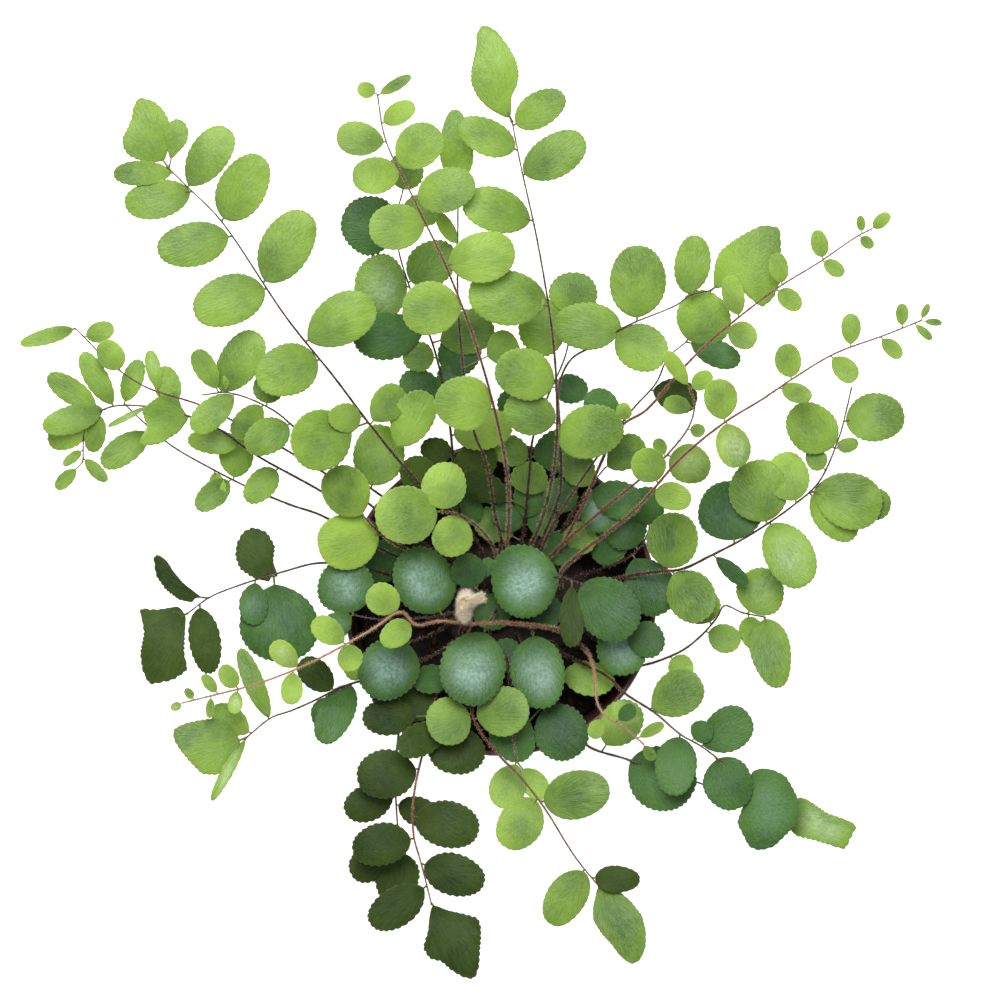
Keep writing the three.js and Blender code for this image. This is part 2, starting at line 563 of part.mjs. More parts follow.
function potGeometry() {
  const lipFoot = POT.height - POT.lipHeight;
  const bodyTop = outerRadiusAt(lipFoot);
  const profile = [
    [0, 0],
    [POT.baseRadius - POT.footChamfer, 0],
    [POT.baseRadius, POT.footChamfer],
    [bodyTop, lipFoot],
    [POT.rimRadius - POT.edge, lipFoot],
    [POT.rimRadius, POT.height - POT.edge],
    [POT.rimRadius - POT.edge, POT.height],
    [POT.rimRadius - POT.wall, POT.height],
    [bodyTop - POT.wall, lipFoot],
    [outerRadiusAt(POT.floor) - POT.wall, POT.floor],
    [0, POT.floor],
  ];
  let pot = toSolid(lathe(profile, POT.sides));
  for (let i = 0; i < POT.drainHoles; i += 1) {
    const angle = (FULL_TURN * i) / POT.drainHoles;
    const x = POT.drainCircle * Math.cos(angle);
    const y = POT.drainCircle * Math.sin(angle);
    pot = pot.subtract(toSolid(prism(x, y, -1, POT.floor + 1, POT.drainRadius, POT.drainSides)));
  }
  return toGeometry(pot);
}

// ---------------------------------------------------------------- rhizome

// A low lumpy clump, flat enough on top for the stipes to stand in; grow swells it on every side
function rhizomeGeometry(grow) {
  const draw = drawer(71);
  const lumps = Array.from({ length: RHIZOME.sides }, () => 1 + RHIZOME.lump * draw());
  const rings = [
    [RHIZOME.shoulder, RHIZOME.top - RHIZOME.drop + grow],
    [1, RHIZOME.waist],
    [RHIZOME.foot, RHIZOME.underside + RHIZOME.drop - grow],
  ];
  const points = [[...RHIZOME.centre, RHIZOME.top + grow]];
  rings.forEach(([share, z]) => {
    lumps.forEach((lump, i) => {
      const angle = (FULL_TURN * i) / RHIZOME.sides;
      const x = RHIZOME.centre[0] + (RHIZOME.halfLength * share * lump + grow) * Math.cos(angle);
      const y = RHIZOME.centre[1] + (RHIZOME.halfWidth * share * lump + grow) * Math.sin(angle);
      points.push([x, y, z]);
    });
  });
  points.push([...RHIZOME.centre, RHIZOME.underside - grow]);
  const triangles = [];
  const n = RHIZOME.sides;
  const last = points.length - 1;
  for (let i = 0; i < n; i += 1) {
    const next = (i + 1) % n;
    triangles.push([0, 1 + i, 1 + next]);
    for (let ring = 0; ring + 1 < rings.length; ring += 1) {
      const a = 1 + ring * n + i;
      const b = 1 + ring * n + next;
      triangles.push([a, a + n, b + n], [a, b + n, b]);
    }
    triangles.push([last, last - n + next, last - n + i]);
  }
  return closedGeometry(points, triangles);
}

function rhizomeWithSockets(feet) {
  let rhizome = toSolid(rhizomeGeometry(0));
  const socketFloor = STIPE.foot - STIPE.socketDepthBelowFoot;
  feet.forEach(([x, y]) => {
    const socket = prism(x, y, socketFloor, RHIZOME.top + 5, STIPE.socketRadius, STIPE.socketSides);
    rhizome = rhizome.subtract(toSolid(socket));
  });
  return toGeometry(rhizome);
}

// ---------------------------------------------------------------- potting mix

function soilGeometry() {
  const draw = drawer(19);
  const inside = (z) => outerRadiusAt(z) - POT.wall - SOIL.gap;
  const low = POT.floor + SOIL.gap;
  const rings = [
    [inside(low), low, 0],
    [inside(SOIL.top - SOIL.slump), SOIL.top - SOIL.slump, 0],
    [SOIL.crestRadius, SOIL.top, 1],
    [SOIL.innerRadius, SOIL.top, 1],
  ];
  const n = SOIL.sides;
  const points = [[0, 0, low]];
  rings.forEach(([radius, z, rough]) => {
    for (let i = 0; i < n; i += 1) {
      const angle = (FULL_TURN * i) / n;
      const height = z + rough * SOIL.roughness * draw();
      points.push([radius * Math.cos(angle), radius * Math.sin(angle), height]);
    }
  });
  points.push([0, 0, SOIL.top]);
  const last = points.length - 1;
  const triangles = [];
  for (let i = 0; i < n; i += 1) {
    const next = (i + 1) % n;
    triangles.push([0, 1 + next, 1 + i]);
    for (let ring = 0; ring + 1 < rings.length; ring += 1) {
      const a = 1 + ring * n + i;
      const b = 1 + ring * n + next;
      triangles.push([a, b, b + n], [a, b + n, a + n]);
    }
    triangles.push([last, last - n + i, last - n + next]);
  }
  const soil = toSolid(closedGeometry(points, triangles));
  return toGeometry(soil.subtract(toSolid(rhizomeGeometry(RHIZOME.gap))));
}

// ---------------------------------------------------------------- fronds

// A tapering rod that passes through a list of places, with flat ends
function rodGeometry(places, startRadius, endRadius, sides) {
  const last = places.length - 1;
  const normal = new THREE.Vector3(1, 0, 0);
  const points = [];
  places.forEach((centre, i) => {
    const before = places[Math.max(i - 1, 0)];
    const after = places[Math.min(i + 1, last)];
    const tangent = after.clone().sub(before).normalize();
    normal.addScaledVector(tangent, -normal.dot(tangent)).normalize();
    const binormal = tangent.clone().cross(normal);
    const radius = THREE.MathUtils.lerp(startRadius, endRadius, i / last);
    for (let k = 0; k < sides; k += 1) {
      const angle = (FULL_TURN * (k + 0.5)) / sides;
      const corner = centre.clone()
        .addScaledVector(normal, radius * Math.cos(angle))
        .addScaledVector(binormal, radius * Math.sin(angle));
      points.push(corner.toArray());
    }
  });
  const triangles = [];
  for (let i = 0; i < last; i += 1) {
    for (let k = 0; k < sides; k += 1) {
      const a = i * sides + k;
      const b = i * sides + ((k + 1) % sides);
      triangles.push([a, b, b + sides], [a, b + sides, a + sides]);
    }
  }
  const end = last * sides;
  for (let k = 1; k + 1 < sides; k += 1) {
    triangles.push([0, k + 1, k], [end, end + k, end + k + 1]);
  }
  return closedGeometry(points, triangles);
}

// The places that a stipe and its rachis pass, from the foot in its hole to the tip
function placesOf([x, y], onward) {
  const places = [[x, y, STIPE.foot], [x, y, STIPE.collar], ...onward];
  return places.map((place) => new THREE.Vector3(...place));
}

// The sample of the curve nearest to a place seen from above, from the first one allowed onward
function nearestSample(samples, first, x, y) {
  let nearest = 0;
  let shortest = Infinity;
  samples.forEach((sample, i) => {
    const distance = Math.hypot(sample.x - x, sample.y - y);
    if (i >= first && distance < shortest) {
      shortest = distance;
      nearest = i;
    }
  });
  return { nearest, shortest };
}

// Where on the rachis a leaflet grows: the nearest place to its middle, moved back along the
// rachis so that the blade leans forward by its swing
function rootShare(samples, first, x, y, extras) {
  const last = samples.length - 1;
  if (extras.at !== undefined) {
    return nearestSample(samples, first, ...extras.at).nearest / last;
  }
  const { nearest, shortest } = nearestSample(samples, first, x, y);
  const swing = THREE.MathUtils.degToRad(extras.swing ?? LEAFLET.swing);
  let back = shortest / Math.tan(swing);
  if (nearest >= last - 1) {
    const end = samples[last];
    const before = samples[last - 4];
    const ahead = new THREE.Vector2(end.x - before.x, end.y - before.y).normalize();
    const out = new THREE.Vector2(x - end.x, y - end.y);
    const forward = out.dot(ahead);
    if (forward > LEAFLET.endFacing * out.length()) {
      return 1;
    }
    back = Math.abs(out.cross(ahead)) / Math.tan(swing) - forward;
  }
  const step = back > 0 ? -1 : 1;
  let left = Math.abs(back);
  let index = nearest;
  while (left > 0 && index + step > 0 && index + step <= last) {
    const from = samples[index];
    const to = samples[index + step];
    left -= Math.hypot(to.x - from.x, to.y - from.y);
    index += step;
  }
  return index / last;
}

// The middle of the rod at a share of its places
function rodMiddle(places, share) {
  const along = share * (places.length - 1);
  const step = Math.min(Math.floor(along), places.length - 2);
  return places[step].clone().lerp(places[step + 1], along - step);
}

// One blade: a closed sheet over its outline as seen from above. The height is that of its root,
// plus a slope, plus a fold along the middle, less a dome. Only the top of an unfolded blade is
// domed; its underside is flat.
function leafletGeometry(places, curve, share, row, age, draw) {
  const [x, y, length, width, extras = {}] = row;
  const shape = AGES[age];
  const root = rodMiddle(places, share);
  const tangent = curve.getTangent(share);
  const run = Math.max(Math.hypot(tangent.x, tangent.y), 1e-6);
  const climb = THREE.MathUtils.clamp(tangent.z / run, -LEAFLET.steepest, LEAFLET.steepest);
  const reach = Math.max(Math.hypot(x - root.x, y - root.y), length * LEAFLET.shortestReach);
  const along = new THREE.Vector2(x - root.x, y - root.y).normalize();
  const across = new THREE.Vector2(-along.y, along.x);
  const pitch = LEAFLET.pitch + LEAFLET.pitchSpread * draw() + (extras.lift ?? 0) / reach;
  const slope = along.clone().multiplyScalar(pitch);
  slope.x += (LEAFLET.follow * climb * tangent.x) / run;
  slope.y += (LEAFLET.follow * climb * tangent.y) / run;
  const fold = extras.fold ?? 0;
  const narrowing = extras.tip ?? 0;
  const steepness = Math.hypot(slope.x, slope.y, fold);
  const half = (LEAFLET.thickness / 2) * Math.hypot(1, steepness);

  const rampLength = Math.max(reach - length / 2, LEAFLET.ramp);
  const heightAt = (u, v) => {
    const slant = slope.x * (along.x * u + across.x * v) + slope.y * (along.y * u + across.y * v);
    const fromMiddle = (u - reach) ** 2 + v ** 2;
    const rise = THREE.MathUtils.clamp(u / rampLength, 0, 1);
    return root.z + slant + rise * (fold * Math.abs(v) - shape.dome * fromMiddle);
  };
  const outline = [[share > 0.999 ? -LEAFLET.endSink : -LEAFLET.sink, 0]];
  const count = length < LEAFLET.small ? LEAFLET.smallPoints : shape.points;
  const step = FULL_TURN / count;
  const swell = Math.sqrt(step / Math.sin(step));
  for (let k = 0; k < count; k += 1) {
    const angle = -Math.PI + step * (k + 0.5);
    const u = (length / 2) * Math.cos(angle) * swell;
    const v = (width / 2) * Math.sin(angle) * swell * (1 - narrowing * (u / length + 0.2));
    outline.push([Math.max(reach + u, LEAFLET.clear), v]);
  }
  const n = outline.length;
  const points = [];
  [half, -half].forEach((side) => {
    [...outline, [reach, 0]].forEach(([u, v], k) => {
      const px = root.x + along.x * u + across.x * v;
      const py = root.y + along.y * u + across.y * v;
      points.push([px, py, heightAt(u, v) + (k === 0 ? side * LEAFLET.rootShare : side)]);
    });
  });
  const folded = fold > 0;
  if (!folded) {
    points.pop();
  }
  const triangles = [];
  const lower = n + 1;
  const lowerMiddle = lower + n;
  const tip = Math.ceil(n / 2);
  for (let k = 0; k < n; k += 1) {
    const next = (k + 1) % n;
    triangles.push([n, k, next]);
    triangles.push([k, lower + k, lower + next], [k, lower + next, next]);
    if (folded) {
      triangles.push([lowerMiddle, lower + next, lower + k]);
    } else if (k !== tip && next !== tip) {
      triangles.push([lower + tip, lower + next, lower + k]);
    }
  }
  return closedGeometry(points, triangles);
}

function frondSolid(frond, index) {
  const draw = drawer(1000 + 37 * index);
  const places = placesOf(frond.foot, frond.rachis);
  const curve = new THREE.CatmullRomCurve3(places);
  const samples = curve.getPoints(SAMPLES);
  const first = Math.ceil((SAMPLES * LEAFLET.firstPlace) / (places.length - 1));
  let solid = toSolid(rodGeometry(places, STIPE.radius, STIPE.tipRadius, STIPE.sides));
  frond.leaflets.forEach((row) => {
    const share = rootShare(samples, first, row[0], row[1], row[4] ?? {});
    solid = solid.add(toSolid(leafletGeometry(places, curve, share, row, frond.age, draw)));
  });
  return toGeometry(solid);
}

// ---------------------------------------------------------------- crozier

// A young frond still rolled up: a stalk that rises from its own hole, then a coil that tightens
function crozierGeometry() {
  const [topX, topY, topZ] = CROZIER.top;
  const coil = [];
  for (let i = 0; i <= CROZIER.coilSteps; i += 1) {
    const part = i / CROZIER.coilSteps;
    const angle = FULL_TURN * CROZIER.turns * part;
    const radius = THREE.MathUtils.lerp(CROZIER.coilRadius, CROZIER.coilEnd, part);
    const ahead = CROZIER.coilRadius - radius * Math.cos(angle);
    const up = CROZIER.coilRadius + radius * Math.sin(angle);
    coil.push([topX - CROZIER.lean * up, topY - ahead, topZ + up]);
  }
  const places = placesOf(CROZIER.foot, [CROZIER.neck, CROZIER.top, ...coil]);
  return rodGeometry(places, CROZIER.radius, CROZIER.tipRadius, CROZIER.sides);
}

// ---------------------------------------------------------------- assembly

const fern = new THREE.Group();

function addPiece(name, geometry, finish) {
  const mesh = new THREE.Mesh(geometry, finish);
  mesh.name = name;
  fern.add(mesh);
}

addPiece('pot', potGeometry(), material(0x4a2c26, 0.5));
addPiece('potting_mix', soilGeometry(), material(0x2a1f19, 0.95));
const FEET = [...FRONDS.map((frond) => frond.foot), CROZIER.foot];
addPiece('rhizome', rhizomeWithSockets(FEET), material(0x6b3f2a, 0.9));
FRONDS.forEach((frond, index) => {
  const { colour, roughness } = AGES[frond.age];
  addPiece(frond.name, frondSolid(frond, index), material(colour, roughness));
});

addPiece('crozier', crozierGeometry(), material(0xe6dcc0, 0.9));

export default fern;
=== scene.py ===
"""Button fern in a round nursery pot: the finished surfaces around its fixed solids.

The tables are in millimetres in the frame of the solids: +Z up, with the origin in the centre of
the pot's underside. Every finished piece sits at the origin, with its place in its mesh.
"""

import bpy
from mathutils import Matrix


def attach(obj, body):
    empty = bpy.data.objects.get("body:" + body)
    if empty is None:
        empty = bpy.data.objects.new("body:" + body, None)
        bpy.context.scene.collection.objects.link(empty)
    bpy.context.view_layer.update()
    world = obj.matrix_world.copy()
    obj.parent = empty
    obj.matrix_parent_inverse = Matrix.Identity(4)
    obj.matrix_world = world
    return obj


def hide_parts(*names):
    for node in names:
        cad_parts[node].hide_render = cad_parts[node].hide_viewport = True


bl_info = {
    "name": "Potted button fern",
    "version": (1, 0, 0),
    "blender": (4, 5, 0),
    "location": "View3D > Sidebar > Fern",
    "description": "Builds a button fern: pot, potting mix, rhizome, fronds and crozier",
    "category": "Add Mesh",
}

import math

import bmesh
import bpy
import numpy as np
from mathutils import Vector

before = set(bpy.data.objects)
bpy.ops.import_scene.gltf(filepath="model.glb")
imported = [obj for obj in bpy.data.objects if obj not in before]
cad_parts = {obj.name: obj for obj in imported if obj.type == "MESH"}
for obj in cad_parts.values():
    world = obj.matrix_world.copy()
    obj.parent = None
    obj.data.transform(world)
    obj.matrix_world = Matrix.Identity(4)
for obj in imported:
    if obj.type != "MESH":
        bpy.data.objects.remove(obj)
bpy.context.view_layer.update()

MM = 0.001
FULL_TURN = 2 * math.pi
UP = np.array((0.0, 0.0, 1.0))

# Which of a piece's finishes its stems, its scales and the first look of its blades take
STEM = 0
SCALE = 1
FIRST_BLADE = 2

# Pot, mix and rhizome. The wall leans out by POT_LEAN over POT_BODY, which ends at the lip, and
# the mix keeps MIX_GAP inside it
POT_RIM = 52.5
POT_HEIGHT = 95
POT_FOOT = 38
POT_WALL = 1.8
POT_BODY = 85
POT_LEAN = 12.9
LIP_DEPTH = 10.0
LIP_STEP = 1.6
POT_FLOOR = 2.4
POT_SIDES = 96
WELD = 0.01
DRAIN_HOLES = 6
DRAIN_RADIUS = 4.0
DRAIN_CIRCLE = 26.0
MIX_LOW = 3.1
MIX_GAP = 0.7
MIX_RINGS = 22
MIX_REACH = 46
MIX_SIDES = 120
MIX_CRUMBS = 420
CLUMP_LOW = 78.0
CLUMP_SIDES = 72
CLUMP_X = 5
CLUMP_SCALES = 900
CLUMP_SPOTS = 60

# Seeds of the random draws
MIX_SEED = 19
CLUMP_SEED = 71
CLUMP_SCALE_SEED = 72
WOOL_SEED = 77
ARM_SEED = 78
FROND_SEED = 500
BRISTLE_SEED = 900
PITCH_SEED = 1000
PITCH_SEED_STEP = 37

# Stipes and rachises
FOOT_HEIGHT = 83.4
COLLAR_HEIGHT = 91.5
SAMPLES = 400
FIRST_PLACE = 1.5
RACHIS_SIDES = 7
BRISTLE_WIDTH = 0.07

# How a leaflet stands on its rachis: see leaflet_root and blade
SWING = 70
PITCH = 0.1
PITCH_SPREAD = 0.12
FOLLOW = 0.4
STEEPEST = 0.7
SHORTEST_REACH = 0.46
END_FACING = 0.4
RAMP = 1.5
CLEAR_OF_RACHIS = 0.9
LONGEST_BASE = 0.64
TOOTH_PITCH = 2.05
DOME = {"young": 0.010, "mid": 0.010, "old": 0.014}
TOOTH_DEPTH = {"young": 0.10, "mid": 0.15, "old": 0.22}
WAVE = {"young": 0.25, "mid": 0.45, "old": 0.3}
BLADES = {
    # Name of the finish, colours of its rim and of its pale veins and teeth, which is also the
    # colour of its painted sheen, strength of the veins, roughness, gloss
    "young": ("young blade", 0x9DB85A, 0xD0E2AE, 0.08, 0.4, 0.25),
    "mid": ("grown blade", 0x87A34C, 0xBBD3A2, 0.1, 0.4, 0.25),
    "old": ("old blade", 0x576F48, 0x8DAB9F, 0.06, 0.40, 0.20),
    "olive": ("olive blade", 0x566634, 0x6E7E58, 0.08, 0.42, 0.10),
}
# How much painted sheen each age of blade has on its middle: a pale patch in place of the glossy
# top reflecting the lamp and the room
PAINTED_SHEEN = {"young": 0.03, "mid": 0.06, "old": 0.08}
OLIVE_FRONDS = ("frond_west_dark", "frond_south_dark", "frond_south_dark_low")

# Each frond: name, age, how far its rachis has gone from dark to tan, bristles per millimetre,
# foot, the places that the rachis passes, and the leaflets: the middle of each from above, its
# length and width, and whatever is special about it. That is where it grows from (at) or how far
# it swings forward (swing), how much it lifts, folds or narrows to its tip, its finish (look),
# how light (tone) it is and how much painted sheen (bloom) it has on its middle
FRONDS = (
    ("frond_north", "mid", 0.12, 14, (9, 11),
        ((10.5, 18, 104), (15, 30, 122), (18.5, 48, 140), (19, 66, 152), (17.5, 88, 161),
         (12.5, 119, 167), (7, 144, 168), (4, 159, 166)),
        (
         (-2, 176, 33, 15, {"tip": 0.5}),
         (13, 163, 19.5, 11.5, {"at": (4.3, 157.5)}),
         (18, 147.5, 23, 14.5, {"at": (7.4, 141.2)}), (-4.4, 154, 20, 12, {"at": (5.6, 149.4)}),
         (-1.5, 129.7, 22.5, 14.5, {"at": (11.2, 125.8)}), (2, 100.7, 25, 18.5),
         (30, 56, 22, 18), (8.7, 75, 21, 17), (10, 62, 18, 14, {"tone": -0.5}))),
    ("frond_north_hairy", "young", 0.3, 20, (4, 9),
        ((2.5, 17.5, 106), (3, 30, 127), (2.3, 43, 142), (-1, 60, 154), (-8, 85, 167),
         (-18, 111, 175), (-29, 134, 178), (-38, 153, 177), (-40.7, 168, 174)),
        ((-44, 169.3, 7, 5.5), (-34.3, 171.3, 11, 4), (-33.7, 161.6, 12, 7.5),
         (-47.3, 153.3, 14, 11.5), (-26.7, 151, 16.5, 14.5), (-41, 141, 16, 12.5),
         (-17.7, 136.2, 19.5, 14.5, {"at": (-28.7, 133)}), (-34, 124, 19, 15.5),
         (-5.6, 114, 22, 16.5, {"at": (-18, 111)}), (-23, 97, 19, 18), (-9.3, 65, 21, 18))),
    ("frond_north_behind", "young", 0.15, 9, (-1.5, 12),
        ((0.5, 19, 100), (-1.3, 27, 111), (-5, 47, 129), (-8.5, 55.5, 134), (-12, 75, 143),
         (-14, 100, 150), (-14, 126, 154), (-14, 139, 154)),
        ((-14.5, 150.3, 25, 12, {"tip": 0.3}), (-17.8, 124, 11.5, 5, {"at": (-14, 118)}),
         (1.5, 84, 10, 12, {"lift": -3, "look": "mid", "tone": -0.2}))),
    ("frond_north_dark", "old", 0.05, 4, (-9, 12.5),
        ((-12, 22, 96), (-15, 40, 110), (-17, 60, 123), (-22, 84, 132), (-30, 104, 136),
         (-34, 118, 136), (-34, 130, 135), (-32.5, 136, 134)),
        ((-41, 124, 20, 20),
         (-38.2, 104.5, 19, 22, {"look": "mid", "tone": -0.6, "bloom": 0.4}),
         (-38.7, 88, 20, 16), (-23, 112, 18, 15, {"look": "mid", "tone": -0.9}),
         (-10, 89.5, 16, 15, {"at": (-22, 86), "look": "mid", "tone": -0.9}), (-27, 71, 14, 12),
         (-25.5, 81, 12, 10, {"look": "mid", "tone": -0.9}),
         (-31.5, 142.5, 14, 12, {"look": "mid", "tone": -0.6}),
         (-25.5, 130, 13, 11, {"look": "mid", "tone": 0.3}), (-16.5, 80, 16, 14),
         (-16.5, 74.5, 13, 9, {"at": (-19.7, 68), "bloom": 0.4}),
         (-21, 49.7, 11, 9, {"look": "olive", "tone": 0.5}),
         (-6, 57, 20, 14, {"at": (-16.4, 55), "look": "young", "tone": 1}))),
    ("frond_northwest", "mid", 0.1, 6, (-5, 9),
        ((-7, 18, 101), (-15, 28.5, 113), (-28, 40, 127), (-43, 58, 143), (-55, 74, 153),
         (-71, 94, 162), (-93, 126.5, 167), (-104, 137.5, 167), (-110, 143.5, 166)),
        (
         (-117.5, 155.3, 24, 15, {"tip": 0.3}),
         (-107.8, 153.3, 15, 8, {"at": (-110, 143.5)}),
         (-119.3, 141.9, 18, 8.5, {"at": (-108.5, 142.2)}),
         (-113.8, 133.3, 22, 13, {"at": (-102.3, 136)}),
         (-96.3, 148.3, 20.5, 13.5, {"at": (-103.6, 137.3)}),
         (-85.6, 136.9, 24.5, 16, {"at": (-92.7, 126)}),
         (-102.5, 118.2, 23, 14.5, {"at": (-89, 121)}),
         (-70.8, 118, 25, 17, {"at": (-78, 105.5)}), (-89.7, 99.8, 25, 17, {"at": (-77, 104)}),
         (-52, 93.7, 23, 16.5, {"swing": 97}), (-70.3, 76.7, 22, 17.5),
         (-60.3, 53, 18.5, 20, {"swing": 75, "lift": 8}), (-28.7, 61.3, 18, 14),
         (-50, 60.8, 12, 10, {"swing": 60, "lift": 4, "tone": 1}),
         (-37, 66, 13, 11, {"swing": 80, "lift": -5, "tone": -0.4}),
         (-27, 41.5, 14, 12, {"at": (-21.5, 37), "look": "olive", "tone": 0.6}))),
    ("frond_west_upper", "mid", 0.1, 9, (-6, 5),
        ((-10, 14, 101), (-20, 21.5, 110), (-32, 29.5, 117), (-45, 38.5, 124), (-57, 46.7, 132),
         (-69, 58, 142), (-76.3, 63.7, 146), (-90, 69, 149), (-99.3, 68.3, 148)),
        ((-98.3, 77.7, 13, 7.5, {"fold": 0.3}), (-86.5, 79.7, 22, 14, {"at": (-93, 69)}),
         (-96.3, 61.8, 16, 10, {"at": (-88.5, 68.6)}), (-76.3, 55.2, 17.5, 12),
         (-40.5, 48.5, 20, 17, {"lift": -2}), (-77.5, 67.5, 13, 10, {"lift": -4, "tone": -0.5}),
         (-84, 59.5, 14, 9, {"lift": -4, "tone": -0.1}),
         (-90.7, 75.5, 9, 3, {"at": (-91.5, 69), "look": "young", "tone": 0.6}))),
    ("frond_west_long", "mid", 0.1, 9, (-10, 8.5),
        ((-13, 13, 97), (-36, 22, 112), (-61, 37, 121), (-82, 48.7, 130), (-94.3, 57.3, 134),
         (-106, 62, 136), (-119, 64.7, 137), (-131, 64, 135), (-138, 58, 132), (-139.3, 46, 128)),
        ((-143.7, 70.2, 16.5, 8.5, {"at": (-133, 63.3)}),
         (-142.7, 60.3, 20, 9.5, {"at": (-132, 63.7), "lift": 2}),
         (-135, 55.5, 13, 7, {"at": (-133.5, 62.5), "lift": -3}),
         (-134.7, 74.3, 18.5, 8, {"at": (-129, 64.4)}),
         (-112, 61, 19, 18, {"at": (-103, 61.3), "lift": 2}),
         (-115.6, 77.5, 12, 5, {"tone": 1, "bloom": 0.3}),
         (-79.5, 38.5, 15, 9.5, {"swing": 80}),
         (-95.5, 52.8, 17, 8.5, {"at": (-86.5, 52), "lift": -3, "tone": 1, "bloom": 0.4}),
         (-111, 72, 12, 9, {"at": (-109, 63)}),
         (-124.5, 61, 14, 2.2, {"at": (-117.5, 64.5), "tone": 1, "bloom": 0.5}),
         (-144, 55.5, 15, 10, {"at": (-137.6, 58.7), "lift": -3, "look": "young", "tone": 0.3}),
         (-142.6, 47.5, 8, 3.5, {"at": (-139.3, 50), "look": "young", "tone": 0.3}),
         (-134.7, 43, 9.5, 4.5, {"at": (-139.2, 47.5)}),
         (-145.3, 40, 8, 5, {"look": "young", "tone": 0.4}))),
    ("frond_west_far", "young", 0.15, 6, (-4, 1.5),
        ((-9, 7.5, 102), (-20, 15, 109), (-33, 23.5, 114), (-45, 33, 119), (-58, 42, 126),
         (-82, 56, 138), (-100, 65, 142), (-118, 71, 144), (-130, 79, 143), (-137, 86, 142),
         (-141.5, 90.5, 141)),
        ((-150.4, 88, 19, 5.5), (-133.7, 89.2, 10.5, 7, {"at": (-138.6, 87.5)}),
         (-129.6, 81.5, 11, 9, {"at": (-126, 76.3)}))),
    ("frond_west_lower", "mid", 0.1, 9, (-15, 4),
        ((-20, 8, 97), (-38, 16, 107), (-60, 28.3, 114), (-70, 31.7, 117), (-85, 38, 120),
         (-97.3, 44.3, 122), (-109.7, 51.5, 124), (-119, 59.3, 125), (-125.5, 65.5, 125)),
        ((-96, 35, 14, 8.5, {"fold": 0.3, "tone": -0.7}), (-88, 48.7, 14, 11.5),
         (-95, 41, 12, 5.5, {"at": (-95.5, 43.4), "look": "young", "tone": 0.5}),
         (-126, 49.8, 17, 9.5, {"at": (-116, 56.5), "tone": -0.3}),
         (-122.8, 73.3, 15, 7, {"tone": 0.5}))),
    ("frond_west_dark", "old", 0.05, 4, (-18, 0),
        ((-25, 4, 94), (-40, 9, 102), (-59.7, 12.3, 106), (-72.7, 9.3, 107), (-88.7, 4.3, 106),
         (-97.3, 0.7, 104), (-104.7, -4.7, 101)),
        (
         (-106.2, 7.3, 24, 9.5, {"at": (-97.6, 0.5)}),
         (-81.1, 15.6, 17, 15),
         (-112.4, -14.8, 26, 17.5, {"tip": -0.4, "tone": 0.6}),
         (-98.8, -14.2, 21.5, 10.5, {"at": (-100.6, -1.6), "look": "olive", "tone": 0.9}),
         (-82.5, -2, 13, 9.5, {"look": "old", "tone": 0.1, "bloom": 0.25}),
         (-73.8, -9.3, 22.5, 26.5, {"swing": 80, "look": "old", "tone": 0}),
         (-37.3, 12.7, 13, 12, {"look": "old", "tone": -0.3}))),
    ("frond_west_hairy", "young", 0.95, 22, (18, -10),
        ((20.5, -10.5, 97), (17, -9.5, 108), (8, -8.3, 117), (-1, -7.6, 123), (-10, -8, 128),
         (-20, -7, 132), (-28, -8.3, 135), (-33, -4, 138), (-43, -10, 140), (-62, -20.3, 141),
         (-79, -27.3, 139), (-97.7, -32.3, 134), (-105.7, -34.3, 131)),
        ((-108, -35.5, 4, 3, {"tone": 1, "bloom": 0.5}), (-103.3, -31.7, 5, 3),
         (-97, -27.7, 7, 4), (-96.7, -36.3, 6, 3), (-90.3, -25.7, 9, 6.5, {"tone": 0.8}),
         (-88.3, -34.5, 7, 5, {"tone": 1, "bloom": 0.6}),
         (-72.3, -17.8, 10, 8, {"tone": 1, "bloom": 0.5}), (-69.4, -29.8, 10, 7.5),
         (-57.7, -10, 11.5, 8.7, {"tone": 0.5}), (-50, -19.1, 9.5, 8.5), (-39, 0.2, 11.5, 11),
         (-34.3, -11, 12.3, 9, {"at": (-29, -7.5)}))),
    ("frond_southwest", "mid", 0.1, 9, (-12.5, -9.5),
        ((-15, -14, 96), (-21, -18, 104), (-28, -21, 108), (-41, -25.5, 112.5),
         (-53.3, -29.3, 119), (-61.3, -33.3, 124), (-69.7, -37, 126), (-76.3, -39.3, 127),
         (-84.7, -46, 126)),
        (
         (-96.7, -48.3, 24, 20, {"tip": 0.2}),
         (-91, -57.3, 22, 4, {"fold": 0.3, "tone": 0.7, "bloom": 0.5}),
         (-82.2, -27.5, 24, 7, {"at": (-77, -39.8)}),
         (-54, -36.5, 23, 12, {"at": (-49.7, -27.8), "look": "old", "tone": 0.6}),
         (-90.5, -39.7, 13, 9, {"at": (-83, -44.5), "lift": -3, "tone": 0.9}),
         (-61.5, -25, 14, 10, {"look": "olive", "tone": -0.2}),
         (-57.5, -36.5, 14, 12, {"lift": -4, "look": "old", "tone": 0.8}),
         (-48, -23.5, 10, 8, {"lift": -2, "look": "young", "tone": 0.8}))),
    ("frond_south_dark", "old", 0.6, 8, (-8, -6.5),
        ((-14, -17, 95), (-21, -31, 101), (-24.7, -46.3, 104), (-29, -66.7, 105),
         (-28.9, -79, 103), (-26.5, -88, 100), (-23, -102, 95)),
        (
         (-15.7, -114.3, 26, 17, {"tip": -0.3}),
         (-38.3, -58.5, 19, 16.5), (-17.9, -75.2, 22.5, 15.5, {"at": (-29.1, -72.5)}),
         (-39.9, -82, 19.5, 14, {"at": (-28.7, -80)}),
         (-15.2, -92.2, 20.5, 14, {"at": (-26.3, -88.5)}), (-35.3, -103.5, 19.5, 13))),
    ("frond_south_dark_low", "old", 0.05, 4, (-8.5, -12),
        ((-15.8, -21, 92.2), (-25.5, -31.5, 96.5), (-32.7, -40.3, 99), (-34.7, -52, 99),
         (-35, -64, 95), (-34.3, -76.3, 90), (-33.5, -84, 87)),
